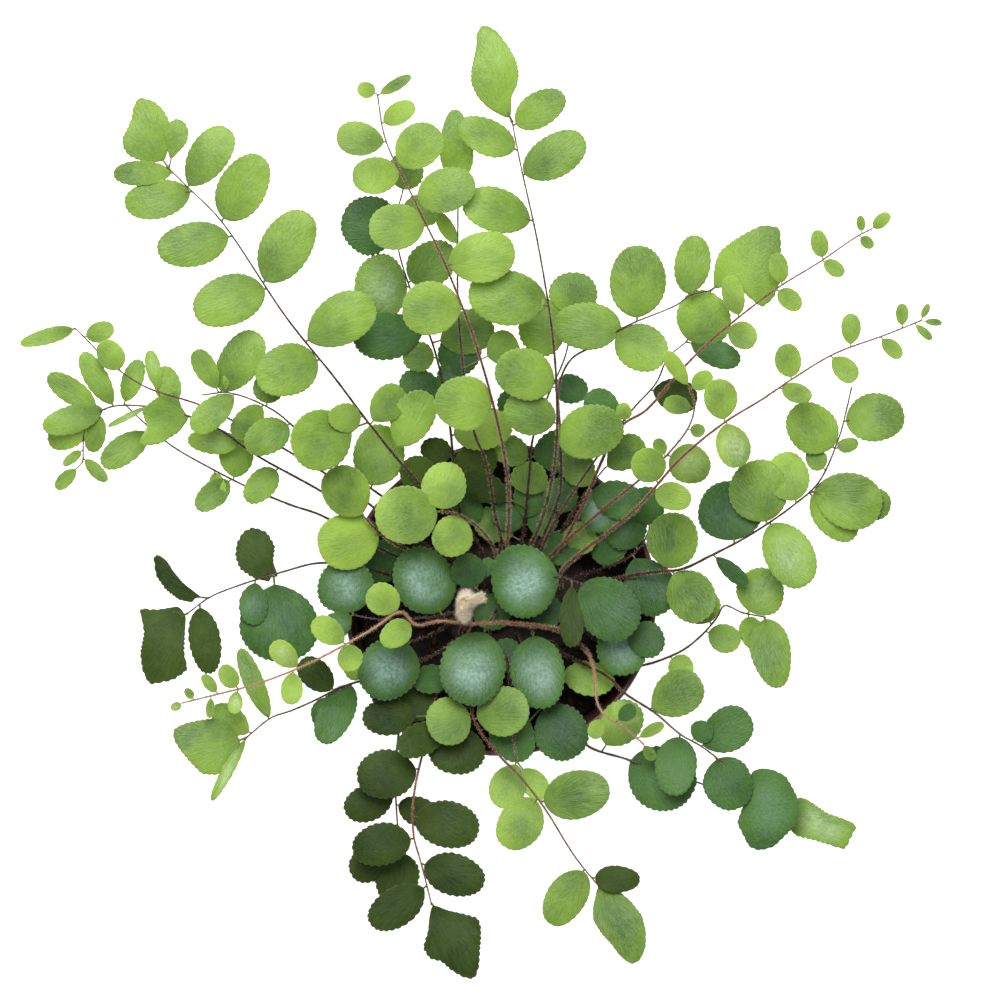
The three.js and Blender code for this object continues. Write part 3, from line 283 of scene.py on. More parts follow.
        ((-34.5, -92.7, 19, 15, {"tone": 0.4}), (-44, -68, 17, 12.5), (-44, -89, 14, 11.5),
         (-27.5, -71, 14, 10), (-31, -33.3, 17, 13))),
    ("frond_south_bright", "young", 0.3, 8, (-2.5, -8.5),
        ((-5, -15, 99), (-8, -26, 109), (-9.7, -35.3, 114), (-8, -41.7, 117), (-0.3, -52, 123),
         (5.7, -58, 126), (14.3, -68.7, 129), (25, -85.7, 129), (33, -95.7, 127)),
        ((-15.8, -40.2, 16.5, 16, {"swing": 85, "look": "mid", "tone": -0.6}),
         (1.3, -37.2, 17, 16.5, {"swing": 80, "look": "mid", "tone": -0.7}),
         (7, -74.3, 19.5, 15), (25.7, -65, 22, 16, {"look": "mid", "tone": -0.8}),
         (22.2, -99.3, 20.5, 13.5, {"at": (28.4, -90), "look": "mid", "tone": -0.4}),
         (38.5, -93.2, 16.5, 9, {"at": (30.6, -92.8), "look": "olive", "tone": 0.9}),
         (39.5, -108.3, 26.5, 17, {"look": "mid", "tone": -0.5}))),
    ("frond_south_pale", "young", 0.2, 16, (1, -14.5),
        ((3, -24, 99), (4, -40, 110), (5.5, -54, 114)),
        ((2.5, -63, 14, 12, {"tone": -0.3}), (11.8, -62, 11, 8.5, {"tone": 0.6}))),
    ("frond_southeast", "mid", 0.1, 9, (17, -14.5),
        ((21, -18, 95), (36.3, -26, 107), (41.3, -31, 111), (52, -38, 117), (60.3, -45, 119),
         (67.3, -49, 119.5), (74, -54, 118.5), (80, -58, 117)),
        ((60, -31, 16.5, 15.5, {"look": "mid", "tone": -0.7}),
         (76.5, -43.2, 16.5, 15, {"look": "old", "tone": 0.8}),
         (58.8, -55.3, 20, 14, {"look": "old", "tone": 0.9}),
         (76, -60.9, 19, 16.5, {"at": (72, -52.5), "look": "old", "tone": 0.2}),
         (89.6, -70, 28, 21, {"at": (80, -58), "look": "old", "tone": 0.9, "bloom": 0.2}),
         (67.3, -44.3, 8, 8, {"look": "old", "tone": 0.6}))),
    ("frond_southeast_low", "old", 0.05, 4, (11, -14),
        ((16, -27, 96), (28, -48, 103), (42, -53.3, 107), (55, -57.5, 108), (67, -61.5, 107),
         (78, -65.5, 106), (88, -69, 104), (97, -72.5, 102)),
        (
         (107.8, -74.8, 22, 16, {"fold": 0.2, "tip": 0.3, "look": "mid", "tone": 0, "bloom": 0.5}),
         (54.2, -59.9, 23, 21, {"at": (42.7, -53.5), "lift": 3}),
         (40.8, -40.8, 15, 14, {"at": (34, -51), "look": "mid", "tone": 0.3}))),
    ("frond_southeast_hairy", "young", 1, 20, (23.5, -11),
        ((27, -15, 100), (30.3, -19.5, 112), (31.7, -26, 119), (32.7, -35, 123),
         (36, -39.5, 124), (41, -42.3, 123), (47.7, -48, 119)),
        ((42.7, -37.5, 6, 5.5, {"look": "old", "tone": 0.4}), (32, -43.5, 6, 5.5),
         (51.2, -43.3, 8, 4), (50, -51.5, 5, 4, {"look": "mid", "tone": -0.8}))),
    ("frond_east_low", "mid", 0.1, 9, (25, -6.5),
        ((31, -12.5, 94), (38, -18.5, 100), (44.3, -22.3, 105), (59.7, -17.7, 112),
         (67, -12.3, 114), (72.5, -6, 116.5), (75, -2, 117.5), (81, -4.3, 117),
         (88.5, -5.8, 115)),
        ((90.6, -17.5, 24, 14.5, {"tip": 0.25}), (86.8, 2, 17, 16.5, {"bloom": 0.2}),
         (68.5, -4.5, 15, 13, {"lift": -3, "tone": 0.8, "bloom": 0.3}),
         (75.3, -13, 10.5, 9.5, {"tone": -0.5}), (60.3, -22.3, 9, 8.5, {"look": "young"}),
         (83.5, -8, 12, 8, {"lift": -3, "tone": 0.5}))),
    ("frond_east", "mid", 0.1, 9, (25, 2),
        ((31, 5, 97), (44, 8, 106), (52, 9.3, 111), (61, 10.3, 119), (70.3, 14.7, 126),
         (80, 19.7, 131), (89.7, 25.7, 135), (98, 31.7, 138), (106.3, 39.3, 140),
         (113.3, 55, 140), (115, 61.3, 139), (117.3, 71, 136)),
        ((104.3, 57, 19, 16.5), (124.7, 60.8, 20, 16.5), (86.3, 36.2, 21, 19.5, {"tone": -0.4}),
         (96.3, 40.5, 18, 14, {"lift": -3, "look": "young", "tone": 0.1}),
         (117, 33, 21.5, 18.5), (111.5, 27.3, 19, 12, {"at": (103, 36), "lift": -4}),
         (124.5, 32, 12, 11, {"lift": -5}),
         (96.4, 15, 23, 16.5, {"at": (89.8, 25.8), "bloom": 0.4}),
         (64.2, 0.7, 16.5, 16, {"lift": 2, "tone": -0.8}), (57.7, 20, 18.5, 17, {"tone": -0.6}),
         (76.8, 28.7, 22, 21, {"lift": -4, "look": "old", "tone": -0.6}),
         (114.7, 51.3, 8.5, 5, {"swing": 60, "lift": -3}),
         (105.8, 46.5, 9, 7, {"lift": -2, "look": "mid", "tone": -0.6}),
         (78, 9, 12, 5.5, {"at": (71, 15), "lift": -2, "look": "old"}))),
    ("frond_east_long", "young", 0.5, 18, (20.5, 4),
        ((20.5, 9, 100), (26.7, 15.3, 116), (36.3, 22.7, 127), (46, 31, 138),
         (60.3, 47.3, 150.5), (75, 59.3, 156), (87, 66.7, 159), (98.3, 74.3, 160),
         (111.3, 82, 159), (128.3, 88.3, 156), (140, 93, 152)),
        ((49.4, 45, 11.5, 11.5), (57.5, 34.6, 12.5, 9.5), (73.3, 67.5, 12.5, 11),
         (77.6, 51, 13.7, 11.5, {"at": (75.2, 59.4), "bloom": 0.6}), (95.8, 79.7, 11, 9),
         (98.7, 68.9, 10, 6.7, {"at": (92.7, 70.5)}), (116.7, 90.7, 9.5, 6.5),
         (115, 76.5, 9.5, 7.5), (133.8, 95.5, 6.5, 4.3), (130.7, 83.5, 7.8, 5.2),
         (141.3, 89, 6.5, 3), (144.6, 92.5, 5, 2.5), (141.7, 96.5, 4.5, 2.5))),
    ("frond_northeast_broad", "mid", 0.1, 9, (12, 14),
        ((14.5, 21, 103), (20, 36, 121), (20, 56, 135), (19.8, 72, 144), (24, 80.5, 148),
         (33.3, 85.5, 151), (41.7, 91, 154), (58.3, 98, 154), (64, 101.7, 153), (70, 103, 151)),
        (
         (82.3, 112.3, 28, 21, {"tip": -0.3, "tone": 0.5}),
         (45.8, 106.3, 23.5, 18.5), (64, 111.9, 19, 12),
         (46.5, 84.3, 19.5, 15.5, {"at": (38, 88.7)}), (30, 91.2, 23.5, 16, {"at": (41, 90.6)}))),
    ("frond_northeast_short", "mid", 0.1, 9, (8.5, 6),
        ((13, 15, 105), (20, 29, 119), (32, 47, 131), (44, 63.3, 138), (52, 72.3, 141),
         (56, 80.7, 143), (62, 86, 144)),
        ((67.8, 93.8, 17.5, 19), (33.7, 64.7, 12.5, 11, {"look": "old", "tone": 0.8}),
         (59.2, 68, 13.5, 11.5, {"lift": -2, "look": "olive", "tone": 0.8}),
         (72.7, 82, 15.5, 9, {"look": "old", "tone": 0.5}))),
    ("frond_northeast_long", "young", 0.5, 16, (18.5, 10.5),
        ((21, 18, 103), (27, 30, 118), (40.3, 57.7, 139), (48.7, 63.3, 144), (61, 77.3, 152),
         (68.7, 85, 156), (79.3, 94, 160), (93, 104.3, 163), (106, 112.3, 163.5),
         (118.3, 120.7, 162), (123.4, 123.4, 161)),
        ((126.8, 126.2, 7, 4.5, {"tone": 1}), (120, 125, 6, 3, {"tone": 0.6}), (122, 119, 5, 4),
         (106.2, 118.5, 9, 6, {"tone": 0.3}), (110.9, 110.5, 8, 5.3),
         (92.7, 110.5, 9.8, 6.5, {"tone": -0.4}), (96.3, 100, 9.3, 6.7, {"tone": 0.6}),
         (77.5, 101.7, 12.5, 7.5), (80.5, 88.2, 10.5, 9), (41.7, 60.4, 7, 5.3))),
    ("frond_northeast_curled", "young", 0.5, 14, (14.5, 9.5),
        ((17.5, 15, 103), (32.5, 28.5, 119.5), (50, 43, 135), (56.3, 49, 142), (63, 58, 150),
         (64.7, 65, 154), (63, 71, 156)),
        ((65.8, 56.5, 5, 4.5), (58.2, 77.9, 12, 5.5), (67, 73, 8.5, 6, {"lift": -3}),
         (58.5, 65, 8, 6.5, {"look": "mid", "tone": -0.9}),
         (62.8, 45.5, 15.5, 13, {"lift": -9, "tone": 0.3, "bloom": 0.4}), (53.3, 51.3, 5.5, 4.5))),
    ("frond_west_middle", "young", 0.2, 16, (-14.5, 8),
        ((-17.5, 11, 97), (-25, 14.5, 104), (-33, 17.5, 112), (-38, 20.5, 120), (-43, 25, 126),
         (-45.5, 28, 128.5)),
        ((-51.5, 36.5, 17, 16), (-50.7, 19.5, 21, 18.5, {"swing": 60, "tone": 0.8}))),
    ("frond_west_inner", "young", 0.2, 16, (-0.5, 7),
        ((-1.5, 16, 106), (-7.3, 24.3, 123), (-14, 28.5, 130), (-20, 29.5, 132)),
        ((-18.7, 37.5, 17, 15, {"swing": 85}), (-15.5, 21.5, 15, 13.5), (-31.5, 28.3, 20, 19.5))),
    ("frond_crown_west", "old", 0.05, 4, (-9, -1),
        ((-13, -3.5, 102), (-22, -5.7, 113), (-32, -6.5, 117), (-42, -6.4, 118), (-49, -5, 117)),
        ((-25.3, 6.3, 23.5, 20, {"lift": 3, "tone": 0.5, "bloom": 1}),
         (-51.3, 3.4, 19.5, 19.5, {"swing": 85, "tone": 0.2, "bloom": 0.85}),
         (-55.3, -9, 12, 9, {"bloom": 0.4}))),
    ("frond_crown_inner", "old", 0.05, 4, (-5, -2.5),
        ((-6.5, 1, 103), (-8, 3.5, 110)),
        ((-10.5, 9.5, 11.5, 11.5, {"tone": -0.9}),
         (-4.7, 10.8, 7, 5, {"at": (-8, 3.5), "lift": -3}))),
    ("frond_crown_southwest", "old", 0.05, 4, (-14.5, -5),
        ((-19, -9.5, 98), (-25, -12.5, 109), (-30, -14, 115)),
        ((-37, -23, 22, 19.5, {"tone": 0.2, "bloom": 0.8}),)),
    ("frond_crown_south", "old", 0.05, 4, (-1, -3),
        ((-2, -5, 102), (-3.5, -7.5, 113), (-5, -10, 117)),
        ((-9, -23, 25, 21.5, {"tone": 0.2, "bloom": 0.85}),)),
    ("frond_crown_south_low", "old", 0.05, 4, (10.5, -5.5),
        ((10.5, -8, 98), (11, -11.5, 109)),
        ((12.5, -23.7, 25, 18.5, {"tone": 0.2, "bloom": 0.85}),)),
    ("frond_crown_centre", "old", 0.05, 4, (12.5, 1.5),
        ((13.5, 5, 103), (16, 7, 113), (21, 7.5, 118), (27, 5.5, 120)),
        ((7.8, 6.2, 21.5, 24.5, {"at": (20.5, 7.5), "tone": 0.3, "bloom": 0.95}),
         (35.7, -2.7, 24, 20, {"tone": -0.4}),
         (24, -7, 18, 8, {"at": (24, 6.6), "look": "olive", "tone": 0.1}))),
    ("frond_low_north", "old", 0.05, 4, (6, 15),
        ((8, 23, 98), (9, 33, 106), (10, 44, 111), (11, 54, 115), (16, 68, 121), (22, 82, 126),
         (24, 94, 128)),
        ((3.3, 27, 13, 9, {"tone": 0.3}), (12.5, 26, 12, 10),
         (-6, 38, 16, 10, {"look": "olive", "tone": -0.7}),
         (3.3, 50, 14, 10, {"look": "mid", "tone": -0.9}),
         (20, 50, 17, 14, {"lift": -2, "tone": 0.4}), (6, 64, 15, 12), (23.3, 70.5, 12, 10),
         (16.8, 90.5, 18, 19, {"at": (23.7, 89), "look": "mid", "tone": 0.3}),
         (24.5, 102, 15, 16, {"look": "mid", "tone": -0.4}),
         (-2.7, 25.3, 13, 11, {"lift": -2, "look": "mid", "tone": -1}),
         (9.8, 40, 12.5, 12.5, {"at": (9.2, 34.3), "lift": 1, "look": "mid", "tone": -0.8}))),
    ("frond_low_northeast", "old", 0.05, 4, (16.5, 15),
        ((19.5, 21, 100), (25, 30, 112), (31, 39, 119), (35, 44, 122)),
        ((20.5, 34.5, 13, 10.5), (30.8, 30.6, 16, 15.5, {"tone": 0.5, "bloom": 1}),
         (26, 44, 14, 11.5, {"look": "mid", "tone": -0.5}), (40, 33.3, 15, 13, {"tone": 0.1}),
         (42.5, 49.5, 13, 11, {"look": "mid", "tone": -0.9}),
         (26.5, 20.5, 11.5, 11, {"at": (20.8, 22.9), "lift": -1, "look": "mid", "tone": -0.5}))),
    ("frond_low_east", "old", 0.05, 4, (25.5, 7),
        ((30, 9, 95), (36, 11, 99.5), (43, 14, 102.5), (48, 19, 104.5), (50, 24, 105.5)),
        ((36.3, 18.5, 15, 13, {"at": (34.5, 10.6), "tone": 1, "bloom": 0.1}),
         (50.5, 3.5, 18, 17, {"at": (44.5, 15)}),
         (43.5, 21, 17, 14, {"tone": 0.2, "bloom": 0.2}), (49.5, 31, 14, 11, {"tone": 1}))),
    ("frond_low_southeast", "old", 0.05, 4, (20.5, -4.5),
        ((27, -6, 98), (35, -7, 107), (44, -8, 112)),
        ((40.5, -15.5, 19, 17, {"tone": 1, "bloom": 0.9}), (48.5, -12.8, 14, 12, {"tone": -0.3}))),
    ("frond_low_south", "old", 0.05, 4, (5.5, -10.5),
        ((8.5, -18, 95), (12, -28, 102), (14, -36, 105)),
        ((20.3, -44.3, 19.5, 18, {"tone": -1}), (4, -47, 13.5, 16, {"lift": -2}),
         (30.5, -26.5, 15.5, 11.5, {"lift": -5, "look": "mid", "tone": 0.2}))),
    ("frond_low_southwest", "old", 0.05, 4, (-4, -13.5),
        ((-7, -20, 95), (-10, -32, 104), (-13, -41, 107)),
        ((-14.7, -50.3, 16, 19.5, {"look": "olive", "tone": -0.3}),
         (-27, -47, 15.5, 11, {"lift": 3, "look": "olive", "tone": 0}),
         (-23.3, -26.7, 12, 9.5, {"lift": 4}),
         (-38, -39.3, 16, 12, {"lift": 4, "look": "olive", "tone": -0.6}))),
)

# Leaflets with an outline of their own: their frond, which of its leaflets it is, and the corners
# of the outline at the pixels where the camera sees them
OUTLINES = {
    ("frond_north", 0): (
        (484, 24), (497, 31), (509, 47), (516, 60), (519, 74), (517, 86), (511, 97), (512, 110),
        (511, 120), (500, 115), (488, 108), (477, 97), (471, 83), (471, 70), (474, 56), (477, 44),
        (475, 35), (481, 26),
    ),
    ("frond_northwest", 0): (
        (139, 97), (154, 101), (163, 109), (169, 120), (170, 134), (168, 150), (165, 161),
        (149, 163), (141, 161), (129, 156), (123, 148), (122, 138), (127, 129), (132, 117),
        (133, 107),
    ),
    ("frond_northwest", 1): (
        (176, 118), (185, 122), (189, 131), (187, 143), (178, 153), (170, 161), (167, 148),
        (165, 136), (168, 124),
    ),
    ("frond_west_long", 4): (
        (142, 409), (156, 398), (165, 395), (178, 389), (181, 406), (189, 419), (178, 433),
        (159, 444), (142, 446), (137, 440), (148, 428), (144, 417),
    ),
    ("frond_west_dark", 0): (
        (153, 555), (166, 556), (172, 569), (183, 583), (196, 595), (205, 600), (193, 603),
        (179, 600), (166, 590), (156, 576),
    ),
    ("frond_west_dark", 1): (
        (243, 532), (253, 527), (267, 532), (275, 546), (273, 562), (279, 579), (273, 583),
        (268, 574), (253, 578), (240, 569), (235, 556), (237, 543),
    ),
    ("frond_west_dark", 2): (
        (138, 608), (156, 610), (179, 606), (186, 616), (185, 633), (184, 653), (188, 670),
        (173, 680), (149, 685), (142, 670), (140, 653), (144, 633), (142, 620),
    ),
    ("frond_southwest", 0): (
        (241, 742), (234, 757), (226, 770), (217, 775), (202, 774), (191, 763), (181, 751),
        (174, 740), (173, 729), (185, 723), (200, 720), (221, 717), (230, 725), (236, 733),
    ),
    ("frond_south_dark", 0): (
        (432, 904), (447, 910), (464, 914), (478, 918), (481, 927), (481, 938), (480, 951),
        (479, 966), (475, 979), (464, 978), (451, 970), (441, 961), (430, 959), (423, 948),
        (428, 931), (429, 918),
    ),
    ("frond_south_bright", 6): (
        (597, 886), (618, 890), (631, 901), (642, 915), (646, 930), (646, 947), (640, 961),
        (631, 965), (620, 956), (612, 945), (601, 933), (593, 920), (593, 907), (596, 894),
    ),
    ("frond_southeast", 4): (
        (752, 771), (762, 768), (774, 770), (786, 776), (793, 788), (798, 798), (800, 813),
        (796, 825), (786, 835), (774, 847), (759, 851), (749, 847), (743, 835), (737, 823),
        (745, 800),
    ),
    ("frond_southeast_low", 0): (
        (784, 812), (796, 800), (801, 796), (813, 803), (827, 813), (845, 819), (858, 825),
        (852, 835), (845, 850), (830, 845), (813, 840), (796, 836), (786, 825),
    ),
    ("frond_northeast_broad", 0): (
        (780, 227), (781, 242), (781, 255), (783, 275), (774, 298), (762, 308), (747, 296),
        (735, 283), (714, 290), (713, 278), (715, 263), (720, 251), (732, 241), (747, 232),
        (762, 225),
    ),
}

# Small leaflets low in the crown: their frond, the pixel and the height of the middle, length,
# width and what is special. One that doesn't say where it grows from takes the place of low_root
LOW_LEAFLETS = (
    ("frond_north_dark", (466, 511), 99, 12, 11, {"tone": 0.3}),
    ("frond_north_dark", (476, 462), 100, 15, 13, {"at": (-12, 39), "look": "olive", "tone": 0.3}),
    ("frond_low_north", (531, 497), 100, 13, 12, {"tone": 0.2}),
    ("frond_northeast_broad", (560, 548), 98, 13, 12, {"look": "old", "tone": -0.3}),
    ("frond_crown_west", (492, 612), 97, 13, 12, {"tone": 0}),
    ("frond_crown_south_low", (546, 613), 97, 12, 11, {"tone": -0.1}),
    ("frond_west_dark", (376, 566), 101, 13, 12, {"look": "old", "tone": -0.8}),
    ("frond_low_south", (508, 655), 96, 12, 11, {"tone": -0.6}),
    ("frond_south_dark", (418, 703), 99, 13, 12, {"tone": 0.3}),
)
# Steps along a frond for low_root, the least height of such a root, and the most over its leaflet
LOW_STEPS = 60
LOW_HEIGHT = 92
LOW_OVER = 4
# Places worked out from pixels are kept to a tenth of a millimetre
DECIMALS = 1

# Crozier
CROZIER_FOOT = (-11, 2.5)
CROZIER_NECK = (-11.3, 0.5, 115)
CROZIER_TOP = (-11, -0.3, 131)
CROZIER_ARM = ((-10.8, -1.6, 133), (-9.2, -0.6, 134.2), (-7.2, 0.5, 134.6), (-5.4, 0.9, 134))
CROZIER_WOOL = 5200
WOOL_WIDTH = 0.15
ARM_WOOL = 1100
ARM_SHARE = 0.7
COIL_RADIUS = 3.1
COIL_END = 1.2
COIL_TURNS = 1.35
COIL_LEAN = 0.3
COIL_STEPS = 12

# Stage
FLOOR_HALF = 6.0
SENSOR = 36
LENS = 864
FRAME_PIXELS = 1000
CAMERA_Y = 0.1 / 3
CAMERA_HEIGHT = 8140
LAMP_PLACE = (-0.12, 0.62, 1.75)
LAMP_AIM = (0, 0, 0.12)
LAMP_SIZE = 0.8


def srgb(code, alpha=True):
    """A screen colour such as 0x5f9d45 as linear light: each channel over 255, then to the usual
    power of 2.4 above a short straight foot."""
    channels = np.array([(code >> shift) & 255 for shift in (16, 8, 0)]) / 255
    linear = np.where(channels <= 0.04045, channels / 12.92, ((channels + 0.055) / 1.055) ** 2.4)
    return (*map(float, linear), 1.0) if alpha else tuple(map(float, linear))


# ---------------------------------------------------------------- settings


def length(name, description, default_mm, low=0.05, high=600):
    """A size that the user can change, given in millimetres and kept in metres."""
    return bpy.props.FloatProperty(
        name=name, description=description, default=default_mm * MM, min=low * MM,
        max=high * MM, precision=5, subtype="DISTANCE", unit="LENGTH",
    )


def colour(name, description, code):
    """A colour that the user can change."""
    return bpy.props.FloatVectorProperty(
        name=name, description=description, default=srgb(code, alpha=False), min=0, max=1,
        size=3, subtype="COLOR",
    )


class PotSettings(bpy.types.PropertyGroup):
    rim_radius: length("Rim radius", "Outer radius of the lip", POT_RIM)
    height: length("Height", "From the table to the top of the lip", POT_HEIGHT)
    base_radius: length("Base radius", "Radius at the foot", POT_FOOT)
    wall: length("Wall", "Thickness of the wall", POT_WALL)
    colour: colour("Colour", "Moulded plastic", 0x4A2A23)


class MixSettings(bpy.types.PropertyGroup):
    top: length("Top", "Height of the surface of the mix", 84)
    roughness: length("Roughness", "How far crumbs stand above and below the surface", 1.4)
    colour: colour("Colour", "Damp mix", 0x100C0A)
    bark: colour("Bark", "Reddish bits of bark", 0x3A1C14)


class RhizomeSettings(bpy.types.PropertyGroup):
    half_length: length("Half length", "Half the clump along X", 28)
    half_width: length("Half width", "Half the clump along Y", 20)
    top: length("Top", "Height of the clump's top", 90.6)
    colour: colour("Colour", "Brown scales of the clump", 0x20140E)


class FrondSettings(bpy.types.PropertyGroup):
    thickness: length("Thickness", "Thickness of a leaflet", 0.5)
    stipe_radius: length("Stipe radius", "Radius of a stipe at its foot", 0.58)
    tip_radius: length("Tip radius", "Radius of a rachis at its tip", 0.24)
    bristle: length("Bristle", "Length of the scales on a rachis", 1.05)
    young: colour("Young", "Newest leaflets", 0x70922F)
    mid: colour("Mid", "Grown leaflets", 0x66882A)
    old: colour("Old", "Oldest leaflets", 0x365A1F)
    olive: colour("Olive", "Oldest leaflets of the outer fronds", 0x2F4216)
    dark_rachis: colour("Dark rachis", "Wiry old rachis", 0x281712)
    red_rachis: colour("Red rachis", "Rachis half way from dark to tan", 0x6E3024)
    tan_rachis: colour("Tan rachis", "Rachis of a new frond", 0xA87A5C)


class CrozierSettings(bpy.types.PropertyGroup):
    radius: length("Radius", "Radius of the stalk", 1.35)
    wool: length("Wool", "Length of the pale scales", 2.3)
    colour: colour("Colour", "Pale wool", 0xF1E9D6)


class StageSettings(bpy.types.PropertyGroup):
    camera_height: length("Camera height", "Height of the camera over the table",
                          CAMERA_HEIGHT, 100, 20000)
    key_power: bpy.props.FloatProperty(
        name="Key power", description="Light of the large soft lamp", default=34, min=0,
        subtype="POWER", unit="POWER",
    )
    ambient: bpy.props.FloatProperty(
        name="Ambient", description="Light of the pale room", default=0.44, min=0,
    )


SETTINGS = {
    "fern_pot": PotSettings,
    "fern_mix": MixSettings,
    "fern_rhizome": RhizomeSettings,
    "fern_fronds": FrondSettings,
    "fern_crozier": CrozierSettings,
    "fern_stage": StageSettings,
}


# ---------------------------------------------------------------- shapes as arrays


def closed_faces(rings, sides):
    """Faces of a form closed by a pole at each end: a fan from the first pole to the first ring,
    a quad between each two points of neighbouring rings, and a fan to the last pole."""
    here = np.arange(sides)
    after = (here + 1) % sides
    last_ring = 1 + (rings - 1) * sides
    start = np.column_stack((np.zeros(sides, int), 1 + here, 1 + after))
    end = np.column_stack((np.full(sides, rings * sides + 1), last_ring + after, last_ring + here))
    ring = 1 + np.arange(rings - 1)[:, None] * sides
    quads = np.stack((ring + here, ring + sides + here, ring + sides + after, ring + after), -1)
    return np.vstack((start, end)), quads.reshape(-1, 4)


def faces(points, tris=(), quads=(), finish=0, uv=None, **data):
    """Points with their triangles and quads, and the numbers that their finish reads."""
    return {
        "points": points, "tris": np.reshape(tris, (-1, 3)).astype(int),
        "quads": np.reshape(quads, (-1, 4)).astype(int), "finish": finish, "uv": uv, "data": data,
    }


def form(first_pole, rings, last_pole, finish=0, uv=None, **data):
    """One closed form from its poles and its rings, an array of ring by side by xyz, with the
    numbers that its finish reads at every point."""
    count, sides = rings.shape[:2]
    points = np.vstack((first_pole, rings.reshape(-1, 3), last_pole))
    return faces(points, *closed_faces(count, sides), finish, uv, **data)


def build(name, forms, finishes):
    """Puts closed forms into one mesh object at the origin and gives each face its finish."""
    counts = np.cumsum([0] + [len(f["points"]) for f in forms])
    points = np.concatenate([f["points"] for f in forms]) * MM
    corners, sizes, finish = [], [], []
    for shift, f in zip(counts, forms):
        for rows in (f["tris"], f["quads"]):
            if len(rows):
                corners.append((rows + shift).ravel())
                sizes.append(np.full(len(rows), rows.shape[1]))
                finish.append(np.full(len(rows), f["finish"]))
    corners, sizes, finish = map(np.concatenate, (corners, sizes, finish))
    mesh = bpy.data.meshes.new(name)
    mesh.vertices.add(len(points))
    mesh.vertices.foreach_set("co", points.astype(np.float32).ravel())
    mesh.loops.add(len(corners))
    mesh.loops.foreach_set("vertex_index", corners.astype(np.int32))
    mesh.polygons.add(len(sizes))
    starts = np.concatenate(([0], np.cumsum(sizes)[:-1]))
    mesh.polygons.foreach_set("loop_start", starts.astype(np.int32))
    mesh.polygons.foreach_set("material_index", finish.astype(np.int32))
    mesh.polygons.foreach_set("use_smooth", np.ones(len(sizes), bool))
    names = sorted({key for f in forms for key in f["data"]})
    for key in names:
        values = [np.broadcast_to(f["data"].get(key, 0.0), len(f["points"])) for f in forms]
        layer = mesh.attributes.new(key, "FLOAT", "POINT")
        layer.data.foreach_set("value", np.concatenate(values).astype(np.float32))
    if any(f["uv"] is not None for f in forms):
        flat = [np.zeros((len(f["points"]), 2)) if f["uv"] is None else f["uv"] for f in forms]
        layer = mesh.uv_layers.new(name="UVMap")
        layer.data.foreach_set("uv", np.concatenate(flat)[corners].astype(np.float32).ravel())
    mesh.update(calc_edges=True)
    mesh.validate()
    for material in finishes:
        mesh.materials.append(material)
    piece = bpy.data.objects.new(name, mesh)
    bpy.context.scene.collection.objects.link(piece)
    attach(piece, "root")
    return piece


def smooth_path(places, steps=SAMPLES):
    """A curve through every place. Each stretch is a cubic, and its slope at a place comes from
    the places around it, weighted by the square root of the distances between them. The ends
    are carried on in a straight line. The samples divide every stretch alike."""
    p = np.asarray(places, float)
    p = np.vstack((2 * p[0] - p[1], p, 2 * p[-1] - p[-2]))
    gap = np.sum(np.diff(p, axis=0) ** 2, axis=1)[:, None] ** 0.25
    x0, x1, x2, x3 = p[:-3], p[1:-2], p[2:-1], p[3:]
    g0, g1, g2 = gap[:-2], gap[1:-1], gap[2:]
    slope1 = ((x1 - x0) / g0 - (x2 - x0) / (g0 + g1) + (x2 - x1) / g1) * g1
    slope2 = ((x2 - x1) / g1 - (x3 - x1) / (g1 + g2) + (x3 - x2) / g2) * g1
    square = -3 * x1 + 3 * x2 - 2 * slope1 - slope2
    cube = 2 * x1 - 2 * x2 + slope1 + slope2
    along = np.linspace(0, len(x1), steps + 1)
    stretch = np.minimum(along.astype(int), len(x1) - 1)
    t = (along - stretch)[:, None]
    return x1[stretch] + t * (slope1[stretch] + t * (square[stretch] + t * cube[stretch]))


def unit(vectors):
    """Vectors over their lengths."""
    vectors = np.asarray(vectors, float)
    return vectors / np.maximum(np.linalg.norm(vectors, axis=-1, keepdims=True), 1e-9)


def cross_directions(path, reference):
    """At each point of a path: its direction, the reference less its part along that direction,
    and the direction square to both."""
    ahead = unit(np.gradient(path, axis=0))
    side = unit(reference - (ahead @ reference)[:, None] * ahead)
    return ahead, side, np.cross(ahead, side)


def walked(path):
    """The distance from the start of a path to each of its points."""
    return np.concatenate(([0.0], np.cumsum(np.linalg.norm(np.diff(path, axis=0), axis=1))))


def tube(path, radius, sides, reference, **data):
    """A round stem: at each point of the path a ring, the radius times the cosine of the angle
    to one side and less the sine of it to the other, closed at both ends."""
    _, side, other = cross_directions(path, reference)
    angle = FULL_TURN * np.arange(sides)[:, None] / sides
    radius = np.broadcast_to(radius, len(path))[:, None, None]
    around = np.cos(angle) * side[:, None] - np.sin(angle) * other[:, None]
    rings = path[:, None] + radius * around
    share = walked(path) / walked(path)[-1]
    share = np.concatenate(([0.0], np.repeat(share, sides), [1.0]))
    return form(path[0], rings, path[-1], STEM, way=share, **data)


